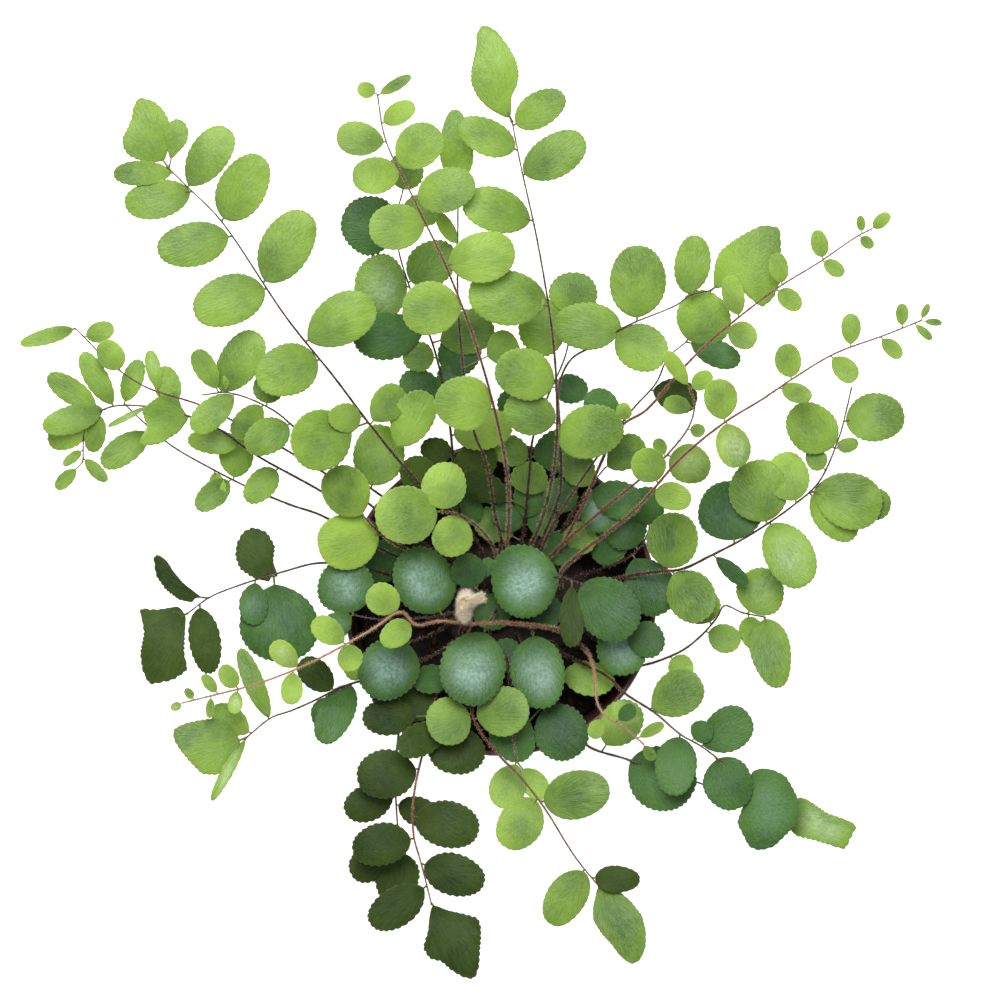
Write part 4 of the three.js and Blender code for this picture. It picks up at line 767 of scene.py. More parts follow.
def bristles(path, radius, reference, count, size, width, seed):
    """Narrow pointed scales: each is a spike of three sides. Its foot is on the stem at a random
    place and angle, and its tip is a random length away, outward and a little forward."""
    rng = np.random.default_rng(seed)
    distance = walked(path)
    where = np.sort(rng.random(count)) * distance[-1]
    ahead, side, other = cross_directions(path, reference)
    pick = np.searchsorted(distance, where).clip(0, len(path) - 1)
    at = np.stack([np.interp(where, distance, path[:, k]) for k in range(3)], -1)
    angle = rng.uniform(0, FULL_TURN, count)[:, None]
    out = np.cos(angle) * side[pick] + np.sin(angle) * other[pick]
    lean = rng.uniform(-0.1, 0.9, count)[:, None]
    aim = unit(out + lean * ahead[pick] + rng.normal(0, 0.28, (count, 3)))
    across = unit(np.cross(aim, ahead[pick]))
    square = np.cross(aim, across)
    foot = at + out * (np.broadcast_to(radius, len(path))[pick][:, None] - 0.06)
    wide = width * rng.uniform(0.7, 1.2, count)[:, None]
    long = size * rng.uniform(0.45, 1.15, count)[:, None]
    corners = [foot + wide * (math.cos(a) * across + 0.5 * math.sin(a) * square)
               for a in (0, FULL_TURN / 3, 2 * FULL_TURN / 3)]
    points = np.stack((*corners, foot + aim * long), 1).reshape(-1, 3)
    first = 4 * np.arange(count)[:, None, None]
    tris = (first + np.array(((0, 2, 1), (0, 1, 3), (1, 2, 3), (2, 0, 3)))).reshape(-1, 3)
    shades = np.repeat(rng.uniform(-1, 1, count), 4)
    way = np.repeat(where / distance[-1], 4)
    return faces(points, tris, finish=SCALE, tone=shades, way=way)


# ---------------------------------------------------------------- finishes


class Finish:
    """A material and the nodes that are added to it."""

    def __init__(self, name):
        self.material = bpy.data.materials.new(name)
        self.material.use_nodes = True
        self.tree = self.material.node_tree
        self.shader = self.tree.nodes["Principled BSDF"]

    def add(self, kind, inputs=(), **settings):
        """Adds a node, sets what it is told, and returns its first output."""
        node = self.tree.nodes.new("ShaderNode" + kind)
        for key, value in settings.items():
            setattr(node, key, value)
        self.feed(node, dict(inputs))
        return node.outputs[0]

    def feed(self, node, inputs):
        """Links each input that is a socket, and sets the rest to their values."""
        for key, value in inputs.items():
            if isinstance(value, bpy.types.NodeSocket):
                self.tree.links.new(value, node.inputs[key])
            else:
                node.inputs[key].default_value = value

    def read(self, name):
        """A number kept at every point of the mesh."""
        node = self.tree.nodes.new("ShaderNodeAttribute")
        node.attribute_name = name
        return node.outputs["Fac"]

    def where(self, kind="Object"):
        return self.tree.nodes.new("ShaderNodeTexCoord").outputs[kind]

    def sum(self, first, second, operation="ADD", clamp=False):
        return self.add("Math", {0: first, 1: second}, operation=operation, use_clamp=clamp)

    def between(self, value, low, high, to_low=0.0, to_high=1.0):
        """Carries a number from one range to another, smoothly, and holds it at the ends."""
        return self.add("MapRange", {"Value": value, "From Min": low, "From Max": high,
                                     "To Min": to_low, "To Max": to_high},
                        interpolation_type="SMOOTHSTEP")

    def mix(self, share, first, second):
        node = self.tree.nodes.new("ShaderNodeMix")
        node.data_type = "RGBA"
        self.feed(node, {0: share, 6: first, 7: second})
        return node.outputs[2]

    def noise(self, vector, scale, detail=3, rough=0.5):
        return self.add("TexNoise", {"Vector": vector, "Scale": scale, "Detail": detail,
                                     "Roughness": rough})

    def bump(self, height, distance_mm, strength=1.0, under=None):
        inputs = {"Height": height, "Distance": distance_mm * MM, "Strength": strength}
        if under is not None:
            inputs["Normal"] = under
        return self.add("Bump", inputs)

    def finish(self, **inputs):
        self.feed(self.shader, {key.replace("_", " "): value for key, value in inputs.items()})
        return self.material


def shade(base, factor):
    """A colour made darker or lighter."""
    return (*[min(1.0, channel * factor) for channel in base[:3]], 1.0)


def blade_finish(name, base, rim, pale_and_painted_sheen, streak, roughness, gloss):
    """Leathery blade. Its colour goes from a cooler dark to a warmer light by its tone, which also
    carries a painted shade across the blade, and by a slow drift, and lightens toward the rim. Fine
    veins fan out from its base, a painted sheen lies in pale patches on its middle, its toothed rim
    is paler, and its underside is dull."""
    f = Finish(name)
    tone, inward = f.read("tone"), f.read("rim")
    here, uv = f.where(), f.where("UV")
    parts = f.tree.nodes.new("ShaderNodeSeparateXYZ")
    f.feed(parts, {0: uv})
    along, across = parts.outputs[0], parts.outputs[1]
    fan = f.sum(across, f.sum(along, 0.12), "ARCTAN2")
    square = f.sum(f.sum(along, along, "MULTIPLY"), f.sum(across, across, "MULTIPLY"))
    reach = f.sum(square, 0.5, "POWER")
    veins = f.add("CombineXYZ", {0: f.sum(fan, 13.0, "MULTIPLY"), 1: f.sum(reach, 0.9, "MULTIPLY"),
                                 2: f.sum(tone, 4.0, "MULTIPLY")})
    lines = f.noise(veins, 2.6, 2, 0.6)
    drift, patches, grain = (f.noise(here, scale, 2) for scale in (75.0, 95.0, 950.0))
    light = f.sum(f.sum(tone, 0.5, "MULTIPLY"), f.between(drift, 0.3, 0.7, 0.2, 0.8))
    light = f.sum(light, f.between(grain, 0.3, 0.7, -0.06, 0.06), clamp=True)
    low, high = np.array(base) * (0.42, 0.5, 0.5), np.array(base) * (1.62, 1.45, 1.4)
    body = f.mix(light, (*low, 1.0), (*high, 1.0))
    body = f.mix(f.between(along, 0.0, 0.7, 0.3, 0.0), body, shade(base, 0.55))
    body = f.mix(f.between(inward, 0.1, 1.0, 0.0, 0.27), body, shade(high, 1.08))
    body = f.mix(f.sum(f.between(lines, 0.38, 0.62), streak, "MULTIPLY"), body, pale_and_painted_sheen)
    # Painted sheen: a pale patch on the middle of the blade, fading toward the rim and broken up by
    # noise, grain and veins, where the glossy top would reflect the lamp and the room
    middle = f.sum(f.between(patches, 0.36, 0.64, 0.5, 1.0),
                   f.between(inward, 0.2, 0.95, 1.0, 0.0), "MULTIPLY")
    middle = f.sum(middle, f.between(grain, 0.36, 0.62, 0.62, 1.05), "MULTIPLY")
    middle = f.sum(middle, f.between(lines, 0.3, 0.65, 0.72, 1.05), "MULTIPLY")
    body = f.mix(f.sum(middle, f.read("bloom"), "MULTIPLY"), body, pale_and_painted_sheen)
    body = f.mix(f.between(inward, 0.92, 1.0, 0.0, 0.35), body, rim)
    body = f.mix(f.between(f.read("tooth"), 0.25, 1.0, 0.0, 0.25), body, pale_and_painted_sheen)
    body = f.mix(f.read("top"), rim, body)
    relief = f.bump(grain, 0.2, 0.8, f.bump(lines, 0.3, 0.8))
    rough = f.between(grain, 0.3, 0.7, roughness - 0.05, roughness + 0.07)
    return f.finish(Base_Color=body, Roughness=rough, Normal=relief, Specular_IOR_Level=gloss,
                    Specular_Tint=(0.9, 0.98, 1.0, 1.0), Subsurface_Weight=0.0)


def rachis_finish(dark, red, tan):
    """Wiry stem: near black at its foot, then dark, red-brown or tan, with fine streaks."""
    f = Finish("wiry rachis")
    streaks = f.noise(f.where(), 700.0, 3)
    warm = f.sum(f.read("warm"), f.between(streaks, 0.3, 0.7, -0.15, 0.2), clamp=True)
    body = f.mix(f.between(warm, 0.0, 0.5), (*dark, 1.0), (*red, 1.0))
    body = f.mix(f.between(warm, 0.5, 1.0), body, (*tan, 1.0))
    body = f.mix(f.between(f.read("way"), 0.0, 0.15, 0.6, 0.0), body, shade(dark, 0.5))
    body = f.mix(f.read("green"), body, srgb(0x5E7A30))
    rough = f.between(streaks, 0.3, 0.7, 0.32, 0.5)
    return f.finish(Base_Color=body, Roughness=rough, Normal=f.bump(streaks, 0.08, 0.6))


def bristle_finish(name, pale, dark, roughness):
    """Papery scales of a stem, from pale to dark by the scale."""
    f = Finish(name)
    grain = f.noise(f.where(), 2500.0, 2)
    share = f.sum(f.sum(f.read("tone"), 0.35, "MULTIPLY"),
                  f.between(grain, 0.3, 0.7, 0.2, 0.8), clamp=True)
    return f.finish(Base_Color=f.mix(share, dark, pale), Roughness=roughness,
                    Normal=f.bump(grain, 0.05, 0.5))


def plastic_finish(base):
    """Moulded plastic: a fine skin grain, faint rings from the turning of the mould, dust toward
    the foot and watermarks under the lip."""
    f = Finish("moulded plastic")
    here = f.where()
    parts = f.tree.nodes.new("ShaderNodeSeparateXYZ")
    f.feed(parts, {0: here})
    grain = f.noise(here, 1900.0, 3)
    rings = f.add("TexWave", {"Vector": here, "Scale": 160.0, "Distortion": 0.6, "Detail": 2.0},
                  bands_direction="Z")
    cloud = f.noise(here, 45.0, 4, 0.6)
    body = f.mix(f.between(cloud, 0.35, 0.7), shade(base, 0.85), shade(base, 1.2))
    dust = f.sum(f.between(parts.outputs[2], 0.0, 0.03, 0.3, 0.03),
                 f.between(cloud, 0.4, 0.7), "MULTIPLY")
    body = f.mix(dust, body, srgb(0x9A8A7A))
    drips = f.noise(f.add("Mapping", {"Vector": here, "Scale": (1.0, 1.0, 0.12)}), 130.0, 3)
    body = f.mix(f.between(drips, 0.62, 0.74, 0.0, 0.1), body, srgb(0xA79A8C))
    relief = f.bump(grain, 0.05, 0.35, f.bump(rings, 0.03, 0.3))
    rough = f.between(cloud, 0.3, 0.7, 0.36, 0.52)
    return f.finish(Base_Color=body, Roughness=rough, Normal=relief)


def soil_finish(base, bark):
    """Damp peat with crumbs and reddish bits of bark."""
    f = Finish("damp mix")
    here = f.where()
    crumbs = f.noise(here, 420.0, 5, 0.65)
    bits = f.add("TexVoronoi", {"Vector": here, "Scale": 330.0})
    body = f.mix(f.between(crumbs, 0.35, 0.68), shade(base, 0.6), shade(base, 1.9))
    body = f.mix(f.between(f.read("bark"), 0.0, 1.0), body, (*bark, 1.0))
    relief = f.bump(crumbs, 0.9, 1.0, f.bump(bits, 0.6, 0.6))
    return f.finish(Base_Color=body, Roughness=0.92, Normal=relief, Specular_IOR_Level=0.25)


def rhizome_finish(base):
    """Woody clump under shaggy brown scales."""
    f = Finish("scaly rhizome")
    grain = f.noise(f.where(), 600.0, 4, 0.6)
    body = f.mix(f.between(grain, 0.3, 0.7), shade(base, 0.4), shade(base, 1.5))
    return f.finish(Base_Color=body, Roughness=0.85, Normal=f.bump(grain, 0.5, 1.0))


# ---------------------------------------------------------------- fronds


def repeatable_draws(seed, count):
    """Numbers between -1 and 1: each state is the last times 1664525 plus 1013904223, kept to 32
    bits, and a draw is the state over 2 to the 31st, less one."""
    states = [seed]
    for _ in range(count):
        states.append((states[-1] * 1664525 + 1013904223) % 2**32)
    return [state / 2**31 - 1 for state in states[1:]]


def seen(pixels, z):
    """Places at a height that the camera sees at pixels of its square frame: a pixel there is the
    distance times the sensor's width over the lens's length, over the pixels of a row."""
    size = (CAMERA_HEIGHT - z) * SENSOR / LENS / FRAME_PIXELS
    middle = FRAME_PIXELS / 2
    x, y = np.moveaxis(np.asarray(pixels, float), -1, 0)
    return np.stack(((x - middle) * size, CAMERA_Y / MM + (middle - y) * size), -1)


def places_of(row):
    """The places that a frond passes: its foot, its collar and those of its rachis."""
    foot = row[4]
    return ((*foot, FOOT_HEIGHT), (*foot, COLLAR_HEIGHT), *row[5])


def low_root(places, middle, z, long):
    """Where a low leaflet grows from. Of the steps along its frond that are between half its length
    and all of it away, over the rhizome and not far over the leaflet, it is the one whose distance
    plus half its difference in height is least."""
    path = smooth_path(places, LOW_STEPS)
    gap = np.linalg.norm(path[:, :2] - middle, axis=1)
    height = path[:, 2]
    fits = (gap > long / 2) & (gap < long) & (height > LOW_HEIGHT) & (height < z + LOW_OVER)
    cost = np.where(fits, gap + np.abs(height - z) / 2, np.inf)
    return tuple(np.round(path[np.argmin(cost), :2], DECIMALS))


def leaflets_of(row):
    """A frond's leaflets, with the low ones last, each with what is special about it."""
    leaflets = list(row[-1])
    for frond, pixel, z, long, wide, special in LOW_LEAFLETS:
        if frond == row[0]:
            middle = seen(pixel, z)
            at = special.get("at", low_root(places_of(row), middle, z, long))
            leaflets.append((*np.round(middle, DECIMALS), long, wide, {**special, "at": at}))
    return [leaflet if len(leaflet) > 4 else (*leaflet, {}) for leaflet in leaflets]


def own_outline(corners, places, share, leaflet):
    """Corners of a leaflet's own outline, along and across it from its middle. They are seen at the
    height of its root, which is taken on the straight stretch between two places."""
    x, y, long = leaflet[:3]
    along_places = share * (len(places) - 1)
    root = np.array([np.interp(along_places, np.arange(len(places)), c) for c in zip(*places)])
    gap = math.hypot(x - root[0], y - root[1])
    along = np.array((x - root[0], y - root[1])) / gap
    away = seen(corners, root[2]) - root[:2]
    reach = max(gap, SHORTEST_REACH * long)
    return np.round(np.stack((away @ along - reach, away @ (-along[1], along[0])), -1), DECIMALS)


def leaflet_root(samples, first, x, y, special):
    """Which sample of the rachis a leaflet grows from: the nearest to its middle, moved back along
    the rachis so that the blade leans forward by its swing. A leaflet that points onward past the
    end grows from the very end."""
    last = len(samples) - 1
    flat = samples[:, :2]
    distance = np.linalg.norm(flat - np.array(special.get("at", (x, y)), float), axis=1)
    distance[:first] = np.inf
    nearest = int(np.argmin(distance))
    if "at" in special:
        return nearest
    swing = math.tan(math.radians(special.get("swing", SWING)))
    back = distance[nearest] / swing
    if nearest >= last - 1:
        ahead = unit(flat[last] - flat[last - 4])
        out = np.array((x, y)) - flat[last]
        forward = out @ ahead
        if forward > END_FACING * np.linalg.norm(out):
            return last
        back = abs(out[0] * ahead[1] - out[1] * ahead[0]) / swing - forward
    passed = walked(flat)
    target = passed[nearest] - back
    if back > 0:
        return max(int(np.searchsorted(passed, target, side="right")) - 1, 1)
    return min(int(np.searchsorted(passed, target, side="left")), last)


def blade(root, ahead, leaflet, age, finish, draw, thickness, rng, corners=None):
    """One leaflet: a rounded oval, a little pointed at its base and blunter at its tip, or the
    outline through its own corners, softened twice, with three points to each tooth. Its height
    is that of its root, plus a slope, plus a fold along the middle, less a dome, plus a slow wave
    toward the rim. Returns the blade and its short stalk."""
    x, y, long, wide, special = leaflet
    run = max(math.hypot(ahead[0], ahead[1]), 1e-6)
    climb = float(np.clip(ahead[2] / run, -STEEPEST, STEEPEST))
    gap = math.hypot(x - root[0], y - root[1])
    reach = max(gap, SHORTEST_REACH * long)
    along = np.array((x - root[0], y - root[1])) / gap
    across = np.array((-along[1], along[0]))
    slope = along * (PITCH + PITCH_SPREAD * draw + special.get("lift", 0) / reach)
    slope = slope + FOLLOW * climb * ahead[:2] / run
    fold = special.get("fold", 0)
    narrow = special.get("tip", 0)
    half = thickness / 2 * math.hypot(1, *slope, fold)
    ramp = max(reach - long / 2, RAMP)
    phase = rng.uniform(0, FULL_TURN, 4)

    teeth = int(np.clip(round(math.pi * (long + wide) / 2 / TOOTH_PITCH), 9, 34))
    around = FULL_TURN * (np.arange(3 * teeth) + 0.5) / (3 * teeth) - math.pi
    lean, sweep = np.cos(around), np.sin(around)
    base_half = float(np.clip(reach - CLEAR_OF_RACHIS, 0.3 * long, LONGEST_BASE * long))
    u = np.where(lean < 0, base_half, long / 2) * lean
    taper = 0.14 + np.where(lean < 0, 2.2 * max(0.0, base_half / long - 0.5), 0)
    v = wide / 2 * np.sign(sweep) * np.abs(sweep) ** (1 - taper * lean)
    v = v * (1 - narrow * (u / long + 0.2))
    wobble = 1 + 0.018 * np.sin(2 * around + phase[0]) + 0.014 * np.sin(3 * around + phase[1])
    outline = np.stack((u, v), -1) * wobble[:, None]
    pole = np.zeros(2)
    if corners is not None:
        pole = corners.mean(axis=0)
        bearing = np.arctan2(corners[:, 1] - pole[1], corners[:, 0] - pole[0])
        outline = np.stack([np.interp(around, bearing, part, period=FULL_TURN)
                            for part in (corners - pole).T], -1)
        for _ in range(2):
            outline = (np.roll(outline, 1, 0) + 2 * outline + np.roll(outline, -1, 0)) / 4
        base_half = -float((outline + pole)[:, 0].min())
    tooth = np.tile((0.0, 0.8, 1.0), teeth)
    depth = TOOTH_DEPTH[age] * min(1, long / 16) * np.clip((lean + 0.95) / 0.35, 0, 1)
    toothed = outline + unit(outline) * (depth * (2 * tooth - 1))[:, None]

    inner = np.stack([share * outline for share in (0.4, 0.72, 0.93)])
    flat = np.concatenate((inner, [toothed, toothed * 0.995], inner[1:2]))
    share = np.array((0.4, 0.72, 0.93, 1.0, 1.0, 0.72))[:, None] + 0 * around
    side = np.array((1, 1, 1, 1, -1, -1))[:, None] + 0 * around

    def height(u, v, share, around):
        slant = slope @ (along[:, None, None] * u + across[:, None, None] * v).reshape(2, -1)
        rise = np.clip(u / ramp, 0, 1)
        crown = fold * np.abs(v) - DOME[age] * ((u - reach) ** 2 + v**2)
        wave = WAVE[age] * share**2 * np.sin(2 * around + phase[2]) * min(1, long / 16)
        wave = wave + 0.4 * WAVE[age] * share**3 * np.sin(5 * around + phase[3])
        return root[2] + slant.reshape(u.shape) + rise * (crown + wave)

    u, v = flat[..., 0] + reach + pole[0], flat[..., 1] + pole[1]
    z = height(u, v, share, around)
    curl = 0.35 * depth * (share == 1) * np.where(side > 0, 1, 0.6)
    z = z - curl + side * half
    x, y = (root[k] + along[k] * u + across[k] * v for k in (0, 1))
    middle = height(np.full((1, 1), reach + pole[0]), np.full((1, 1), pole[1]), 0, 0)[0, 0]
    centre = np.array((*(root[:2] + along * (reach + pole[0]) + across * pole[1]), middle))
    uv = np.stack((u - reach + base_half, v), -1).reshape(-1, 2) / 10
    eye = (np.array((base_half, 0)) + pole) / 10
    uv = np.vstack((eye, uv, eye))
    tooth_top = np.where((share == 1) & (side > 0), tooth * (depth > 0.6 * depth.max()), 0).ravel()
    tone = special["tone"] if "tone" in special else float(np.clip(rng.normal(0, 0.28), -1, 1))
    # Painted shade: the tone grows lighter toward one side of the blade and darker toward the
    # other, in a random direction, for how the light falls across it
    painted_shade_slope = rng.normal(0, 0.45, 2)
    tone = np.concatenate(([tone], tone + (flat @ painted_shade_slope / (long / 2)).ravel(), [tone]))
    leaf = form(
        centre + half * UP, np.stack((x, y, z), -1), centre - half * UP, finish, uv,
        rim=np.concatenate(([0], share.ravel(), [0])), tooth=np.concatenate(([0], tooth_top, [0])),
        top=np.concatenate(([1], (side.ravel() + 1) / 2, [0])), tone=tone,
        # How much painted sheen the blade's finish lays on its middle
        bloom=special.get("bloom", PAINTED_SHEEN[age]),
    )
    edge = outline + pole + (reach, 0)
    base = edge[np.argsort(np.hypot(*edge.T))[:2]].mean(axis=0)
    start = np.hypot(*base)
    stretch = np.array((0.0, 0.55, 1 + 0.4 / start, 1 + min(1.8, 0.16 * long) / start))
    knots = stretch[:, None] * base
    lift = height(knots[:, :1], knots[:, 1:], 0, 0)[:, 0]
    lift[2:] -= (0.6 * half, 0.9 * half)
    stalk = np.column_stack((root[:2] + knots @ (along, across), lift))
    thin = 0.14 + 0.010 * long
    stem = tube(stalk, np.array((1.25, 1.0, 0.9, 0.5)) * thin, 6,
                np.array((*across, 0.0)), warm=0.3, green=0.55)
    return [leaf, stem]


def frond_forms(index, row, leaflets, looks, settings):
    """A stipe and its rachis along one smooth curve, with its bristles, and all its leaflets."""
    name, age, warm, per_mm = row[:4]
    places = places_of(row)
    samples = smooth_path(places)
    ahead = unit(np.gradient(samples, axis=0))
    first = math.ceil(SAMPLES * FIRST_PLACE / (len(places) - 1))
    rng = np.random.default_rng(FROND_SEED + index)
    span = samples[-1] - samples[0]
    reference = unit(np.array((-span[1], span[0], 0.0)))
    steps = int(np.clip(walked(samples)[-1] / 1.7, 12, 110))
    keep = np.linspace(0, SAMPLES, steps + 1).round().astype(int)
    path = samples[keep]
    distance = walked(path)
    share = distance / distance[-1]
    radius = settings.stipe_radius / MM * (1 - share) + settings.tip_radius / MM * share
    radius = radius * (1 + 0.07 * np.sin(distance * 0.9 + index) + 0.05 * np.sin(distance * 2.3))
    radius = radius + 0.35 * np.exp(-distance / 2.5)
    warm = warm * np.clip(0.25 + 1.3 * share, 0, 1)
    warm = np.concatenate(([0], np.repeat(warm, RACHIS_SIDES), warm[-1:]))
    forms = [tube(path, radius, RACHIS_SIDES, reference, warm=warm)]
    count = int(distance[-1] * per_mm)
    forms.append(bristles(path, radius, reference, count, settings.bristle / MM, BRISTLE_WIDTH,
                          BRISTLE_SEED + index))
    draws = repeatable_draws(PITCH_SEED + PITCH_SEED_STEP * index, len(leaflets))
    for k, (draw, leaflet, look) in enumerate(zip(draws, leaflets, looks)):
        at = leaflet_root(samples, first, leaflet[0], leaflet[1], leaflet[4])
        finish = FIRST_BLADE + sorted(set(looks)).index(look)
        corners = OUTLINES.get((name, k))
        if corners:
            corners = own_outline(corners, places, at / SAMPLES, leaflet)
        forms += blade(samples[at], ahead[at], leaflet, age, finish, draw,
                       settings.thickness / MM, rng, corners)
    return forms


# ---------------------------------------------------------------- operators


class FERN_OT_pot(bpy.types.Operator):
    """Builds the round tapered pot with its rolled lip, floor and drain holes"""

    bl_idname = "fern.pot"
    bl_label = "Pot"

    def execute(self, context):
        s = context.scene.fern_pot
        rim, top, base, wall = (v / MM for v in (s.rim_radius, s.height, s.base_radius, s.wall))
        lip, floor, sides = LIP_DEPTH, POT_FLOOR, POT_SIDES
        body_top = rim - LIP_STEP
        wall_foot = base + (body_top - base) * floor / (top - lip) - wall
        profile = np.array((
            (base - 1.5, 0), (base - 0.6, 0.25), (base, 1.5),
            (base + (body_top - base) * 0.5, (top - lip) * 0.5),
            (body_top - 0.03, top - lip - 0.25),
            (body_top + 0.25, top - lip), (rim - 0.9, top - lip), (rim - 0.45, top - lip + 0.15),
            (rim - 0.3, top - lip + 0.6), (rim, top - 1.1), (rim - 0.15, top - 0.35),
            (rim - 0.6, top),
            (rim - wall + 0.45, top), (rim - wall + 0.1, top - 0.3), (rim - wall, top - 0.9),
            (body_top - wall, top - lip), (wall_foot + 0.35, floor + 2.2),
            (wall_foot - 0.1, floor + 0.6), (wall_foot - 1.2, floor),
        ))
        angle = FULL_TURN * np.arange(sides) / sides
        radius, height = profile[:, :1], profile[:, 1:]
        shell = np.stack((radius * np.cos(angle), radius * np.sin(angle), height + 0 * angle), -1)
        here, after = np.arange(sides), (np.arange(sides) + 1) % sides
        ring = np.arange(len(profile) - 1)[:, None] * sides
        # The shell runs from the foot up the outside, over the lip and down the inside
        quads = np.stack((ring + here, ring + after, ring + sides + after, ring + sides + here), -1)
        forms = [faces(shell.reshape(-1, 3), quads=quads)]
        forms += floor_sectors(profile[0, 0], profile[-1, 0])
        pot = build("nursery_pot", forms, [plastic_finish(tuple(s.colour))])
        weld(pot)
        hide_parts("pot")
        return {"FINISHED"}


def floor_sectors(outer, inner):
    """The floor in like sectors, one to a drain hole. Each hole is a ring of points, and each of
    its points is joined to the place on the sector's border that it faces. The sector below is
    that of the foot, the sector above that of the inside, and the wall of the hole joins them."""
    half = math.pi / DRAIN_HOLES
    arc = np.linspace(-half, half, POT_SIDES // DRAIN_HOLES + 1)
    spoke = np.linspace(0, 1, 6)[:-1]
    forms = []

    def border(radius):
        """The sector's border, from the axis out along one side, round the arc and back."""
        there = np.outer(spoke, (math.cos(-half), math.sin(-half))) * radius
        back = np.outer(1 - np.linspace(0, 1, 6)[1:-1], (math.cos(half), math.sin(half))) * radius
        return np.vstack((there, radius * np.stack((np.cos(arc), np.sin(arc)), -1), back))

    low, high = border(outer), border(inner)
    facing = unit(high - (DRAIN_CIRCLE, 0))
    ring = facing * DRAIN_RADIUS + (DRAIN_CIRCLE, 0)
    count = len(ring)
    here, after = np.arange(count), (np.arange(count) + 1) % count
    levels = ((low, 0.0), (ring, 0.0), (ring, POT_FLOOR), (high, POT_FLOOR))
    points = np.vstack([np.column_stack((xy, np.full(count, z))) for xy, z in levels])
    quads = np.vstack([
        np.column_stack((a + here, b + here, b + after, a + after))
        for a, b in ((0, count), (count, 2 * count), (2 * count, 3 * count))
    ])
    for k in range(DRAIN_HOLES):
        turn = FULL_TURN * k / DRAIN_HOLES
        c, s = math.cos(turn), math.sin(turn)
        turned = points @ np.array(((c, s, 0), (-s, c, 0), (0, 0, 1)))
        forms.append(faces(turned, quads=quads))
    return forms


def weld(piece):
    """Joins points that lie on each other, so that a form made in stretches is closed."""
    sheet = bmesh.new()
    sheet.from_mesh(piece.data)
    bmesh.ops.remove_doubles(sheet, verts=sheet.verts, dist=WELD * MM)
    bmesh.ops.recalc_face_normals(sheet, faces=sheet.faces)
    sheet.to_mesh(piece.data)
    sheet.free()


def pot_inside(z):
    """Radius of the mix at a height: the wall leans out evenly, and the mix keeps just inside."""
    return POT_FOOT + POT_LEAN * z / POT_BODY - POT_WALL - MIX_GAP


class FERN_OT_mix(bpy.types.Operator):
    """Builds the potting mix: a rough crumbly top with bits of bark, down to the pot's floor"""

    bl_idname = "fern.mix"
    bl_label = "Potting mix"

    def execute(self, context):
        s = context.scene.fern_mix
        top, rough = s.top / MM, s.roughness / MM
        rng = np.random.default_rng(MIX_SEED)
        low, slump, sides = MIX_LOW, top - 2, MIX_SIDES
        angle = FULL_TURN * np.arange(sides) / sides
        edge = (MIX_REACH, 48, pot_inside(slump), pot_inside(low))
        radius = np.concatenate((np.linspace(2, 44, MIX_RINGS), edge))
        level = np.concatenate((np.full(MIX_RINGS, top), (top - 0.5, top - 1.3, slump, low)))
        rings = np.stack((radius[:, None] * np.cos(angle), radius[:, None] * np.sin(angle),
                          level[:, None] + 0 * angle), -1)
        rough_rings = MIX_RINGS + 2
        crumb = rng.normal(0, 1, (rough_rings, sides))
        crumb = (crumb + np.roll(crumb, 1, 1) + np.roll(crumb, -1, 1)) / 3
        rings[:rough_rings, :, 2] += 0.5 * rough * crumb
        forms = [form((0, 0, top), rings, (0, 0, low))]
        count = MIX_CRUMBS
        spot = rng.uniform(0, FULL_TURN, count)
        distance = np.sqrt(rng.uniform(0, 1, count)) * MIX_REACH
        size = rng.uniform(0.6, 2.4, count)
        middle = np.column_stack((distance * np.cos(spot), distance * np.sin(spot),
                                  np.full(count, top + 0.3)))
        corner = np.array(((1, 0, 0), (0, 1, 0), (-1, 0, 0), (0, -1, 0),
                           (0, 0, 0.5), (0, 0, -0.5)), float)
        turn = rng.uniform(0, FULL_TURN, (2, count))
        long = corner[None] * np.stack((size * 1.5, size * 0.7, size), -1)[:, None]
        c, d = np.cos(turn), np.sin(turn)
        x = long[..., 0] * c[0][:, None] - long[..., 1] * d[0][:, None]
        y = long[..., 0] * d[0][:, None] + long[..., 1] * c[0][:, None]
        z = long[..., 2] + 0.35 * x * d[1][:, None]
        bits = middle[:, None] + np.stack((x, y, z), -1) + rng.normal(0, 0.12, (count, 6, 3))
        tris = 6 * np.arange(count)[:, None, None] + np.array(
            [(4, k, (k + 1) % 4) for k in range(4)] + [(5, (k + 1) % 4, k) for k in range(4)])
        bark = np.repeat(rng.uniform(0.2, 1, count), 6)
        forms.append(faces(bits.reshape(-1, 3), tris, bark=bark))
        mix = build("potting_mix_bed", forms, [soil_finish(tuple(s.colour), tuple(s.bark))])
        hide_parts("potting_mix")
        return {"FINISHED"}


